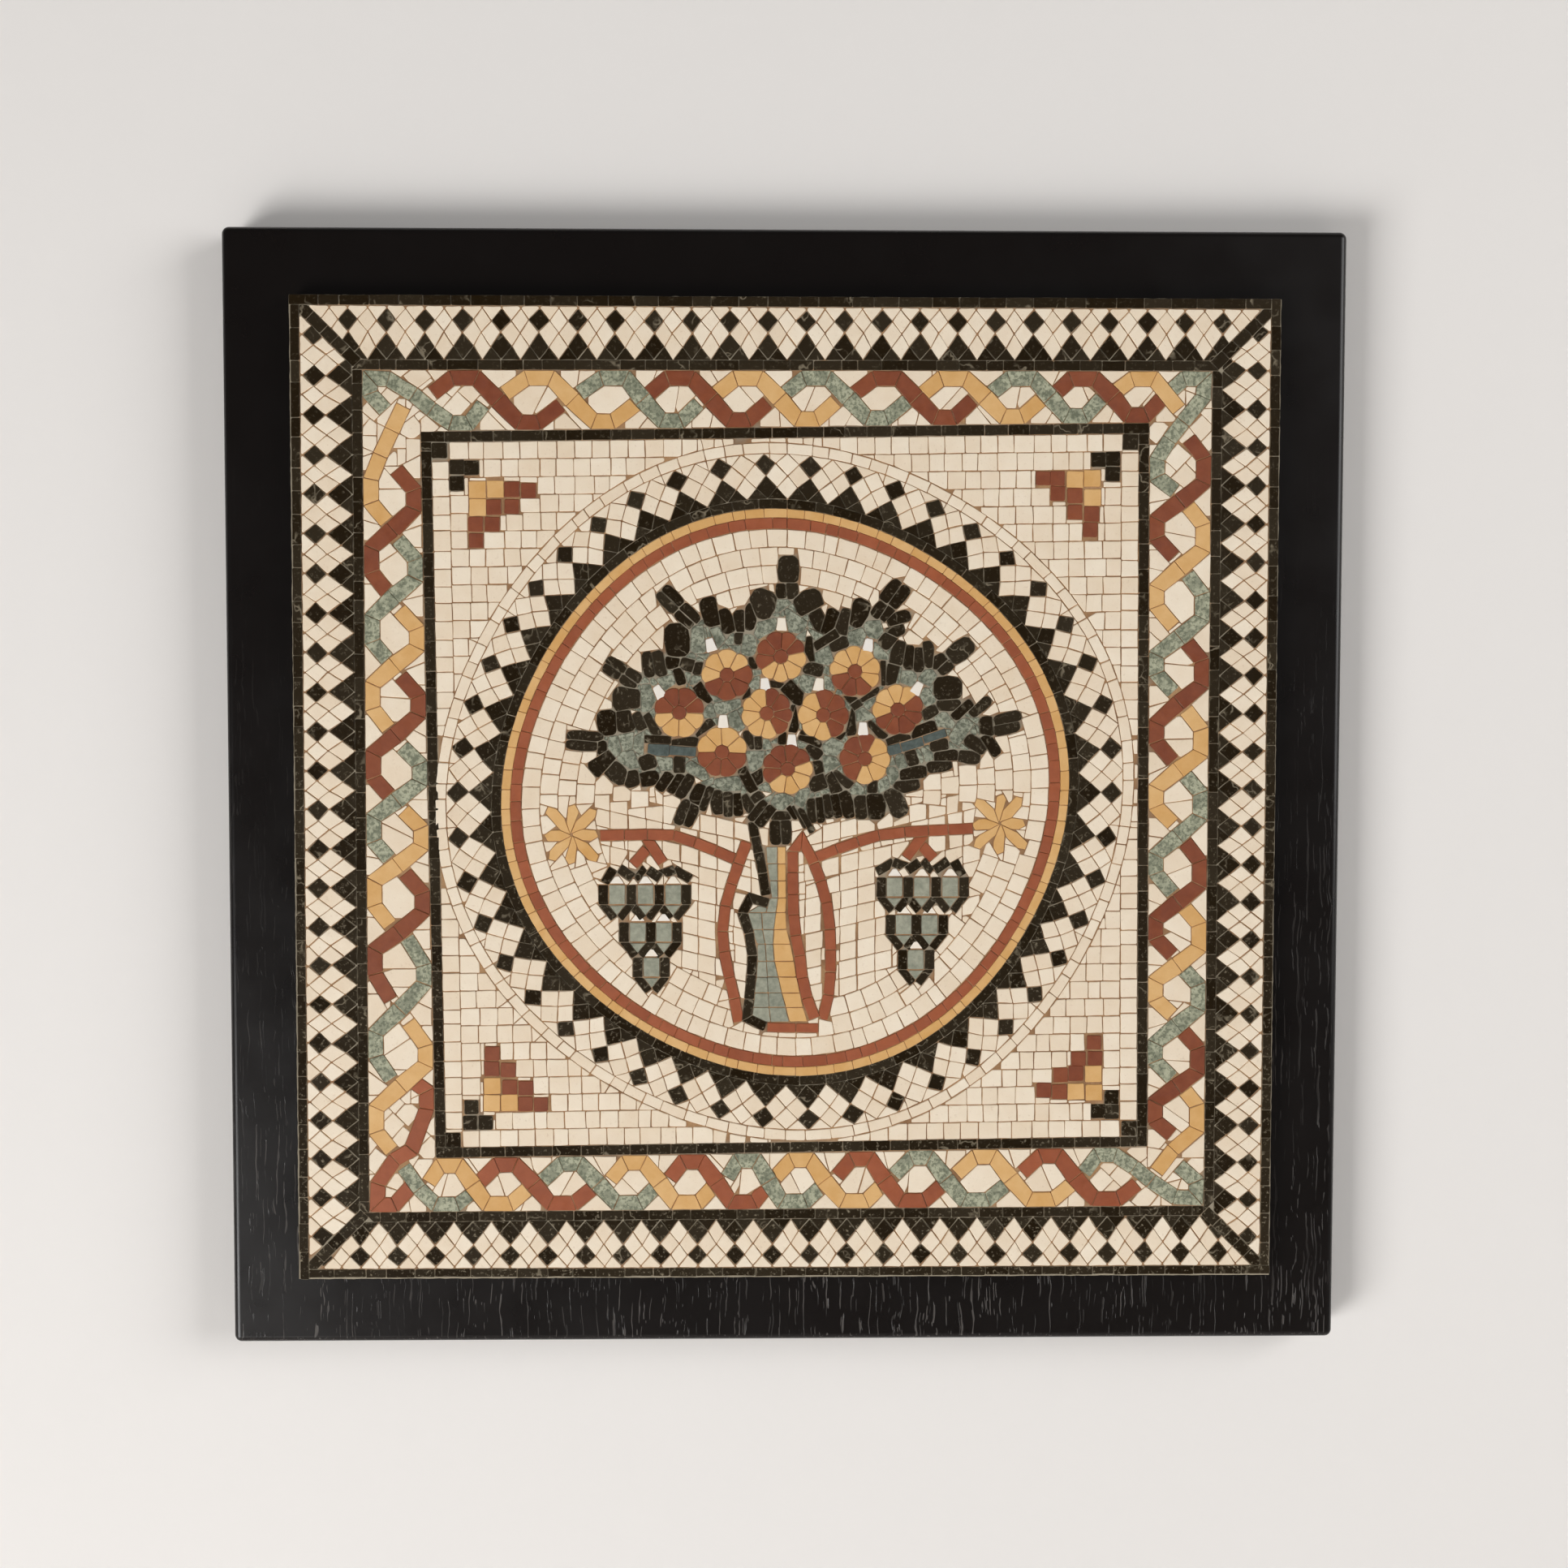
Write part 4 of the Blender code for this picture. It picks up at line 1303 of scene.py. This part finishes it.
DARK_BITS = (
    (-40.6, 52, -15, 5.6, 4), (-36, 50.4, 0, 3.4, 4), (-43.6, 47.4, 105, 6.4, 2.8),
    (-52.4, 21.6, -2, 9.8, 3.3), (-41.4, 20.6, -4, 10.4, 3.3), (-56.6, 12.4, 20, 5.6, 5),
    (-43.8, 11.2, 90, 6.6, 3.4), (-33.8, 40.4, -50, 8, 4.6), (-33.6, 26.2, 34, 8, 3.4),
    (-15.4, 21.4, 96, 6.8, 3.5), (-12, 20.6, 92, 5.2, 2.6), (-15.8, 5.4, -62, 10, 4),
    (-11.2, 6.4, 30, 5.4, 4.2), (-19.4, 62.6, 90, 3.8, 2.6), (-13.8, 52.8, 90, 4, 2.6),
    (-16.6, 40.2, 100, 4.4, 2.6), (-4.2, 44.8, -5, 6, 3.2), (2.6, 40.6, -46, 10.6, 5),
    (2.6, 30, 84, 10.2, 3.8), (-2, 22.2, 90, 4.2, 2.2), (16, 62, 32, 10.4, 4),
    (8.8, 58, 96, 9.8, 3.3), (21, 60.4, 20, 6.6, 3.8), (62, 19.4, 6, 6.4, 3.9),
    (50.8, 14.2, 110, 5.8, 3.4), (55.4, 25.4, 20, 10.4, 4.2), (45.4, 22.4, 18, 9.6, 3.9),
    (37.2, 26, -50, 10.2, 3.8), (33, 40.6, 28, 8.8, 3.4), (38.6, 48.6, 88, 9.2, 3.4),
    (42.6, 48.8, 76, 10, 3.8), (25.6, 29, 96, 10.6, 3.3), (25.8, 39.2, -50, 4.6, 3.2),
    (28.2, 36, 35, 4.2, 2.4), (21.2, 24.4, 60, 3.8, 3.6), (9.6, 21.6, -22, 9, 4.6),
    (11, 16.8, -40, 6, 3.4), (13, 4.6, 20, 7.6, 6.2), (18.8, 3.6, -60, 8.4, 5.4),
    (12.2, 9.8, 100, 5, 4), (22.8, 5.6, -38, 8.4, 3.3), (10.6, 50.2, -14, 7, 4),
    (34.8, 2.4, 90, 4.8, 2.8))
# Slim blue-green stones under the long dark ones
STRIPS = ((-52, 17.6, -4, 8, 4), (-42.6, 17, -4, 10, 3.6), (60, 22.8, 18, 9, 3.6),
          (51, 19.8, 17, 9, 3.6), (43.6, 18, 16, 5, 3.6))
# The edge of the green part of the crown, under the middle of the rim's leaves
GREENERY = [
    (0, 79), (8, 74), (14, 68), (22, 67), (30, 69), (37, 71), (41, 66), (43, 58), (47, 52),
    (58, 51), (63, 47), (62, 40), (60, 34), (70, 33), (78, 31), (80, 25), (74, 20), (66, 15),
    (57, 14), (49, 9), (44, 2), (36, -3), (22, -4), (10, -6), (0, -8), (-8, -6), (-15, -2),
    (-24, -2), (-34, 1), (-42, 5), (-50, 7), (-60, 8), (-68, 11), (-75, 16), (-75, 24), (-66, 27),
    (-60, 30), (-61, 36), (-61, 43), (-57, 48), (-50, 50), (-44, 54), (-41, 60), (-41, 71),
    (-34, 71), (-26, 67), (-18, 67), (-10, 72)]


def parting(shape, other):
    """The line halfway between two outlines: a point on it, and its normal from the first."""
    best = None
    for mine, theirs, sign in ((shape, other, 1), (other, shape, -1)):
        for at, n in edges(mine):
            gap = min((p[0] - at[0]) * n[0] + (p[1] - at[1]) * n[1] for p in theirs)
            if best is None or gap > best[0]:
                best = gap, at, n, sign
    gap, at, n, sign = best
    return (at[0] + n[0] * gap / 2, at[1] + n[1] * gap / 2), (n[0] * sign, n[1] * sign)


def make_crown():
    """Dark leaves round the rim and between the fruits, and green stones packed between."""
    stones = []
    grow = 1.7      # made this much larger than drawn, then parted halfway from what is near
    # each with its outline's points and squareness, its colour and how its corners are nipped
    drawn = [(leaf, (10, 3.2), "black", 1.5) for leaf in LEAVES]
    drawn += [(bit, (8, 5), "black", 1.2) for bit in DARK_BITS]
    drawn += [(strip, (8, 6), "slate", 1.0) for strip in STRIPS]
    drawn.append(((-15.8, 59.8, 90, 8.2, 5.6), (10, 2.6), "moss", 1.5))
    outlines = [turned(oval(*leaf, *style)) for leaf, style, _, _ in drawn]
    for n, ((x, z, turn, long, wide), style, colour, roundness) in enumerate(drawn):
        piece = turned(oval(x, z, turn, long + grow, wide + grow, *style))
        for other in outlines[:n] + outlines[n + 1:]:
            if math.dist(centre(other), (x, z)) < 20:
                piece = cut(piece, *parting(outlines[n], other))
        if len(piece) > 2:
            layout.fit(stones, piece, colour, 4, 1.0, round=roundness, close=0.7)
    green = inside_shape(GREENERY)
    layout.cells(stones, list(spots(-80, -10, 84, 82, 1.3, green, "crown")), "moss", 32,
                 5.0, 1.3, round=1.6, close=0.9)
    layout.pack(stones, spots(-80, -10, 84, 82, 1.1, green, "crown small"), "moss",
                (1.9, 1.3, 0.9, 0.6, 0.45), 1.4, 0.6, 4.0, around, round=1.2)
    build("crown_stones", stones, ["crown"])


def make_trunk():
    rng = random.Random("trunk")
    rows = {"trunk_line": ([(-14.4, -9), (-13.2, -17), (-11.4, -25), (-9.8, -33), (-8.4, -42)],
                           3.9, 8.4, "black"),
            "trunk_outline": ([(-7.4, -45.2), (-12.6, -42.6), (-19.4, -44.0), (-17.4, -52),
                               (-13.9, -61.5), (-14.2, -72), (-15.2, -83), (-16.2, -93),
                               (-14.6, -95.2), (-8.6, -96.0)], 4.0, 8.6, "black"),
            "trunk_red": ([(2.4, -24), (2.4, -33), (2.6, -44), (2.9, -55), (5.2, -65.5),
                           (6.4, -76), (8.6, -85), (11.4, -92.5)], 4.6, 9.0, "rust"),
            "trunk_foot": ([(-8, -96.2), (2, -96.4), (13, -96.6)], 3.8, 10, "rust")}
    for node, (route, wide, step, colour) in rows.items():
        stones = []
        for shape in course(rng, route, wide, step):
            layout.fit(stones, shape, colour, 4)
        build(node + "_stones", stones, [node])
    levels = (-22, -29, -36, -43, -49, -56, -62, -69, -75.5, -82, -88, -94)
    yellow = ((-3.8, -0.5), (-3.8, -0.4), (-3.7, -0.3), (-3.6, -0.2), (-4.4, -0.4), (-5.2, 0.0),
              (-5.6, 1.6), (-5.0, 3.0), (-3.4, 4.0), (-2.0, 5.4), (-0.4, 6.8), (1.2, 8.6))
    grey = (-8.6, -8.0, -7.0, -6.2, -16.0, -14.6, -12.0, -11.8, -12.4, -13.2, -13.8, -14.4)
    stones = []
    for i in range(len(levels) - 1):
        (a0, b0), (a1, b1) = yellow[i], yellow[i + 1]
        z0, z1 = levels[i], levels[i + 1]
        layout.fit(stones, [(a0, z0), (a1, z1), (b1, z1), (b0, z0)], "yellow", 4)
    build("trunk_yellow_stones", stones, ["trunk_yellow"])
    stones = []
    for i in range(len(levels) - 1):
        z0, z1 = levels[i], levels[i + 1]
        a0, a1 = grey[i], grey[i + 1]
        b0, b1 = yellow[i][0], yellow[i + 1][0]
        parts = 2 if min(b0 - a0, b1 - a1) > 5 else 1
        for p in range(parts):
            t0, t1 = p / parts, (p + 1) / parts
            shape = [(a0 + (b0 - a0) * t0, z0), (a1 + (b1 - a1) * t0, z1),
                     (a1 + (b1 - a1) * t1, z1), (a0 + (b0 - a0) * t1, z0)]
            layout.fit(stones, shape, "grey", 3, 1.0)
    build("trunk_grey_stones", stones, ["trunk_grey"])


def make_stems():
    rng = random.Random("stems")
    routes = {
        "left": (((-16.4, -20), (-20, -30), (-23.4, -40), (-26, -50), (-26.4, -60), (-24.6, -70),
                  (-22.4, -80), (-20, -90), (-19.6, -94)),
                 ((-20, -27.6), (-32, -22.4), (-45, -17.4), (-57, -17), (-76, -17.4)),
                 ((-57.4, -18), (-56, -23), (-50.4, -28.6)), ((-57, -23), (-62.6, -29.4))),
        "right": (((2.4, -24.5), (5, -17.6), (8.6, -23), (12, -31), (15.6, -41), (17.4, -52),
                   (18, -63), (17.8, -74), (17, -85), (14.6, -93)),
                  ((10.6, -27), (24, -21.6), (40, -16.6), (60, -15.4), (76, -14.6)),
                  ((56.6, -16), (54, -21), (48.6, -26.6)), ((54.6, -21), (60, -27)))}
    for side, rows in routes.items():
        stones = []
        for n, route in enumerate(rows):
            for shape in course(rng, route, 4.5, 9.4):
                layout.fit(stones, shape, "rust", 3 + (n > 0))
        build("stem_stones_" + side, stones, ["stem_" + side])


def make_grapes():
    """Rows of grey-green grapes between black bars, with white glints above them."""
    for side, mirror, dx, dz in (("left", 1, 0, 0), ("right", -1, -2.4, 3.0)):
        stones = []

        def at(points):
            return turned([(mirror * x + dx, z + dz) for x, z in points])
        rows = ((-37.6, (-69.2, -57.6, -46.4)), (-53, (-60.8, -50.2)), (-67.4, (-55.2,)))
        for top, columns in rows:
            for x in columns:
                layout.lay(stones, at(box(x - 3.3, top - 8.0, x + 3.3, top)), "grey")
                layout.lay(stones, at([(x - 3.3, top - 8.4), (x, top - 12.6),
                                       (x + 3.3, top - 8.4)]), "grey")
                layout.lay(stones, at([(x - 3.1, top + 0.4), (x + 3.1, top + 0.4),
                                       (x + 0.8, top + 3.6), (x - 0.8, top + 3.6)]), "white")
            edges_x = [columns[0] - 5.6] + [(a + b) / 2 for a, b in pairs(columns)]
            edges_x.append(columns[-1] + 5.4)
            for x in edges_x:
                layout.fit(stones, at(box(x - 2.0, top - 8.2, x + 2.0, top)), "black", 4)
            for x in columns:
                for sign in (-1, 1):
                    shape = bar(x + sign * 3.4, top - 10.6, sign * 52, 8.0, 3.6)
                    layout.fit(stones, at(shape), "black", 4)
        for x, z, turn, long in ((-72.4, -34, 60, 7), (-65.6, -32.8, -35, 7), (-59.8, -33, 40, 6),
                                 (-54.4, -33, -35, 7), (-49, -32.6, 20, 7),
                                 (-42.6, -33.4, -30, 8)):
            layout.fit(stones, at(bar(x, z, turn, long, 4.0)), "black", 4)
        build("grape_stones_" + side, stones, ["grapes_" + side])


PETALS = (10.8, 14.4, 12.8, 14.4)       # how far each petal of a half flower reaches


def make_flowers():
    for side, x, z in (("left", -87.6, -17), ("right", 87, -12.4)):
        stones = []
        for i in range(8):
            reach = PETALS[i % 4] + 0.8 * noise("reach", side, i)
            petal = ((0.4, -0.6), (4.6, -2.3), (reach - 2.8, -2.3), (reach, -0.5),
                     (reach - 1.2, 2.1), (4.6, 2.4), (0.4, 0.6))
            shape = placed(petal, x, z, 45 * i + 1 + 6 * noise("petal", side, i))
            layout.fit(stones, shape, "yellow", 5, 1.0)
        build("flower_stones_" + side, stones, ["flower_" + side])


# The pale grounds

def make_field():
    """A row along the inner line, then level rows up to the round border."""
    rng = random.Random("field")
    stones = []
    field = inset_quad(INNER_LINE, INNER_WIDTH)
    inside = inset_quad(field, TILE_ROW)
    for k in range(4):
        for shape in row_along(rng, field[k], field[(k + 1) % 4], TILE_ROW, TILE):
            layout.fit(stones, shape, "cream", 8)
    rows = 38
    top_left, top_right, low_right, low_left = inside
    for j in range(rows):
        high, low = j / rows, (j + 1) / rows
        left0, left1 = between(top_left, low_left, high), between(top_left, low_left, low)
        right0, right1 = between(top_right, low_right, high), between(top_right, low_right, low)
        for t0, t1 in pairs(stations(rng, 0, 1, TILE / 274, 0.16)):
            s0, s1 = t0 + 0.0008 * noise("lean", j, t0), t1 + 0.0008 * noise("lean", j, t1)
            shape = [between(left0, right0, t0), between(left0, right0, t1),
                     between(left1, right1, s1), between(left1, right1, s0)]
            cx, cz = centre(shape)
            if math.hypot(cx, cz) > 132:
                layout.fit(stones, shape, "cream", 7)

    def bare(x, z):
        return math.hypot(x, z) > 110 and max(abs(x), abs(z)) < 196
    layout.pack(stones, spots(-196, -196, 196, 196, 1.5, bare, "field"), "cream",
                (2.6, 1.8, 1.2, 0.8, 0.55), 1.6, 0.65)
    build("field_stones", stones, ["stone_ground"])


def make_medallion():
    """Rows that follow the ring, and level rows low down between the stems."""
    rng = random.Random("medallion")
    stones = []
    radius = ROUND - 12.0
    row = 0
    while radius > 6:
        inner = max(radius - 7.3, 0.5)
        for shape in ring_row(rng, radius, inner, 7.3, 0.16, 0.03 * row):
            cx, cz = centre(shape)
            level = cz < -4 and math.hypot(cx, cz) < 88 and abs(cx) < 78
            if not level or row < 2:
                layout.fit(stones, shape, "cream", 7)
        radius = inner
        row += 1
    lean = math.radians(14)
    for side in (-1, 1):
        for j in range(14):
            for i in range(12):
                u, v = i * 7.4 + rng.uniform(-0.5, 0.5), -2 - j * 7.2
                cell = []
                for du, dv in ((0, 0), (7.4, 0), (7.4, -7.2), (0, -7.2)):
                    x, z = u + du, v + dv
                    cell.append((side * x * math.cos(lean), z + x * math.sin(lean) * 0.9))
                cx, cz = centre(cell)
                if math.hypot(cx, cz) < 92 and cz < 4:
                    layout.fit(stones, cell, "cream", 6)

    def bare(x, z):
        return math.hypot(x, z) < 109
    layout.pack(stones, spots(-108, -108, 108, 108, 1.1, bare, "medallion"), "cream",
                PACKED, 1.6, 0.65, 4.2)
    build("medallion_stones", stones)


# The studio

def make_studio():
    """A pale floor and wall, three soft lights and the camera."""
    scene = bpy.context.scene
    m = Nodes("studio_paper")
    m.colour(rgba("paper"))
    m.rough(0.9)
    floor = panel_mesh("studio_floor", [(-4, 2, -2.0), (4, 2, -2.0), (4, -5, -2.0),
                                        (-4, -5, -2.0)])
    floor.data.materials.append(m.mat)
    w = Nodes("studio_wall")
    w.colour(rgba("paper"))
    w.rough(0.9)
    # clear from behind, and for light that starts at the back of the board, 1 mm away
    clear = w.add("ShaderNodeBsdfTransparent")
    behind = w.add("ShaderNodeNewGeometry").outputs["Backfacing"]
    touching = w.math("LESS_THAN", w.add("ShaderNodeLightPath").outputs["Ray Length"], 0.002)
    mixer = w.add("ShaderNodeMixShader", {"Fac": w.math("MAXIMUM", behind, touching)})
    w.tree.links.new(w.shader.outputs[0], mixer.inputs[1])
    w.tree.links.new(clear.outputs[0], mixer.inputs[2])
    w.tree.links.new(mixer.outputs[0], w.tree.nodes["Material Output"].inputs[0])
    wall = panel_mesh("studio_wall", [(-4, 0.001, 3), (-4, 0.001, -2.0), (4, 0.001, -2.0),
                                      (4, 0.001, 3)])
    wall.data.materials.append(w.mat)
    world = bpy.data.worlds.new("studio")
    world.use_nodes = True
    sky = world.node_tree.nodes["Background"].inputs
    sky["Color"].default_value = (0.95, 0.97, 1.0, 1)
    sky["Strength"].default_value = 0.12
    scene.world = world
    scene.view_settings.view_transform = "Standard"
    area_light("key", (-2.0, -1.9, -1.5), (0, 0, 0), 1.4, 77)
    area_light("fill", (2.7, -1.7, 0.7), (0, 0, 0), 2.0, 64)
    area_light("back", (1.5, 1.9, 0.7), (0, 0, 0), 2.4, 70)
    # almost square to the panel, a little left of its middle and above it
    camera = bpy.data.cameras.new("camera")
    camera.lens = 50
    camera.sensor_width = 36
    obj = bpy.data.objects.new("camera", camera)
    obj.location = (-0.0193, -0.9103, 0.0495)
    obj.rotation_euler = Euler((1.5189, -0.0011, -0.0204))
    scene.collection.objects.link(obj)
    scene.camera = obj


def panel_mesh(name, corners):
    mesh = bpy.data.meshes.new(name)
    bm = bmesh.new()
    bm.faces.new([bm.verts.new(c) for c in corners])
    bm.to_mesh(mesh)
    bm.free()
    obj = bpy.data.objects.new(name, mesh)
    bpy.context.scene.collection.objects.link(obj)
    return obj


def area_light(name, at, toward, size, power):
    data = bpy.data.lights.new(name, "AREA")
    data.shape = "SQUARE"
    data.size = size
    data.energy = power
    obj = bpy.data.objects.new(name, data)
    obj.location = at
    obj.rotation_euler = (Vector(toward) - Vector(at)).to_track_quat("-Z", "Y").to_euler()
    bpy.context.scene.collection.objects.link(obj)


# Operators, in the order in which the pieces are laid

class MOSAIC_OT_board(bpy.types.Operator):
    """Make the black stained board"""
    bl_idname = "mosaic.board"
    bl_label = "Board"

    def execute(self, context):
        make_board()
        return {"FINISHED"}


class MOSAIC_OT_edge_line(bpy.types.Operator):
    """Lay the black line round the edge"""
    bl_idname = "mosaic.edge_line"
    bl_label = "Edge line"

    def execute(self, context):
        make_edge_line()
        return {"FINISHED"}


class MOSAIC_OT_mitres(bpy.types.Operator):
    """Lay the black lines from corner to corner"""
    bl_idname = "mosaic.mitres"
    bl_label = "Mitre lines"

    def execute(self, context):
        make_mitres()
        return {"FINISHED"}


class MOSAIC_OT_teeth(bpy.types.Operator):
    """Lay the second line, the black teeth and the pale lozenges"""
    bl_idname = "mosaic.teeth"
    bl_label = "Toothed band"

    def execute(self, context):
        make_teeth()
        return {"FINISHED"}


class MOSAIC_OT_inner_line(bpy.types.Operator):
    """Lay the inner black line"""
    bl_idname = "mosaic.inner_line"
    bl_label = "Inner line"

    def execute(self, context):
        make_inner_line()
        return {"FINISHED"}


class MOSAIC_OT_plait(bpy.types.Operator):
    """Lay the strands of the plaited band"""
    bl_idname = "mosaic.plait"
    bl_label = "Plait"

    def execute(self, context):
        make_plait()
        return {"FINISHED"}


class MOSAIC_OT_plait_ground(bpy.types.Operator):
    """Lay the pale stones between the strands"""
    bl_idname = "mosaic.plait_ground"
    bl_label = "Plait ground"

    def execute(self, context):
        make_plait_ground()
        return {"FINISHED"}


class MOSAIC_OT_corners(bpy.types.Operator):
    """Lay the corner ornaments"""
    bl_idname = "mosaic.corners"
    bl_label = "Corner ornaments"

    def execute(self, context):
        make_corners()
        return {"FINISHED"}


class MOSAIC_OT_round_teeth(bpy.types.Operator):
    """Lay the round toothed border"""
    bl_idname = "mosaic.round_teeth"
    bl_label = "Round toothed border"

    def execute(self, context):
        make_round_teeth()
        return {"FINISHED"}


class MOSAIC_OT_rings(bpy.types.Operator):
    """Lay the yellow and the red ring"""
    bl_idname = "mosaic.rings"
    bl_label = "Coloured rings"

    def execute(self, context):
        make_rings()
        return {"FINISHED"}


class MOSAIC_OT_fruit(bpy.types.Operator):
    """Lay the ten fruits and their white tops"""
    bl_idname = "mosaic.fruit"
    bl_label = "Fruit"

    def execute(self, context):
        make_fruit()
        return {"FINISHED"}


class MOSAIC_OT_crown(bpy.types.Operator):
    """Lay the leaves of the crown"""
    bl_idname = "mosaic.crown"
    bl_label = "Crown"

    def execute(self, context):
        make_crown()
        return {"FINISHED"}


class MOSAIC_OT_trunk(bpy.types.Operator):
    """Lay the trunk"""
    bl_idname = "mosaic.trunk"
    bl_label = "Trunk"

    def execute(self, context):
        make_trunk()
        return {"FINISHED"}


class MOSAIC_OT_stems(bpy.types.Operator):
    """Lay the red stems"""
    bl_idname = "mosaic.stems"
    bl_label = "Stems"

    def execute(self, context):
        make_stems()
        return {"FINISHED"}


class MOSAIC_OT_grapes(bpy.types.Operator):
    """Lay both bunches of grapes"""
    bl_idname = "mosaic.grapes"
    bl_label = "Grapes"

    def execute(self, context):
        make_grapes()
        return {"FINISHED"}


class MOSAIC_OT_flowers(bpy.types.Operator):
    """Lay the yellow flowers"""
    bl_idname = "mosaic.flowers"
    bl_label = "Flowers"

    def execute(self, context):
        make_flowers()
        return {"FINISHED"}


class MOSAIC_OT_field(bpy.types.Operator):
    """Lay the pale field round the medallion"""
    bl_idname = "mosaic.field"
    bl_label = "Field"

    def execute(self, context):
        make_field()
        return {"FINISHED"}


class MOSAIC_OT_medallion(bpy.types.Operator):
    """Lay the pale ground behind the tree"""
    bl_idname = "mosaic.medallion"
    bl_label = "Medallion ground"

    def execute(self, context):
        make_medallion()
        return {"FINISHED"}


class MOSAIC_OT_mortar(bpy.types.Operator):
    """Spread the mortar bed"""
    bl_idname = "mosaic.mortar"
    bl_label = "Mortar"

    def execute(self, context):
        make_mortar()
        return {"FINISHED"}


class MOSAIC_OT_studio(bpy.types.Operator):
    """Set up the studio: wall, floor, lights and camera"""
    bl_idname = "mosaic.studio"
    bl_label = "Studio"

    def execute(self, context):
        make_studio()
        return {"FINISHED"}


STEPS = (MOSAIC_OT_board, MOSAIC_OT_edge_line, MOSAIC_OT_mitres, MOSAIC_OT_teeth,
         MOSAIC_OT_inner_line, MOSAIC_OT_plait, MOSAIC_OT_plait_ground,
         MOSAIC_OT_corners, MOSAIC_OT_round_teeth, MOSAIC_OT_rings, MOSAIC_OT_fruit,
         MOSAIC_OT_crown, MOSAIC_OT_trunk, MOSAIC_OT_stems, MOSAIC_OT_grapes,
         MOSAIC_OT_flowers, MOSAIC_OT_field, MOSAIC_OT_medallion, MOSAIC_OT_mortar,
         MOSAIC_OT_studio)


class MOSAIC_PT_panel(bpy.types.Panel):
    """Steps of the mosaic panel"""
    bl_idname = "MOSAIC_PT_panel"
    bl_label = "Mosaic panel"
    bl_space_type = "VIEW_3D"
    bl_region_type = "UI"
    bl_category = "Mosaic"

    def draw(self, context):
        for group in (context.scene.mosaic_sizes, context.scene.mosaic_colours):
            box_ = self.layout.box()
            for name in group.__annotations__:
                box_.prop(group, name)
        for step in STEPS:
            self.layout.operator(step.bl_idname)


CLASSES = (MosaicSizes, MosaicColours, *STEPS, MOSAIC_PT_panel)


def register():
    for cls in CLASSES:
        bpy.utils.register_class(cls)
    bpy.types.Scene.mosaic_sizes = bpy.props.PointerProperty(type=MosaicSizes)
    bpy.types.Scene.mosaic_colours = bpy.props.PointerProperty(type=MosaicColours)


def unregister():
    del bpy.types.Scene.mosaic_sizes
    del bpy.types.Scene.mosaic_colours
    for cls in reversed(CLASSES):
        bpy.utils.unregister_class(cls)


def main():
    register()
    for step in STEPS:
        group, name = step.bl_idname.split(".")
        if getattr(getattr(bpy.ops, group), name)() != {"FINISHED"}:
            raise RuntimeError(step.bl_label + " was not finished")


if __name__ == "__main__":
    main()
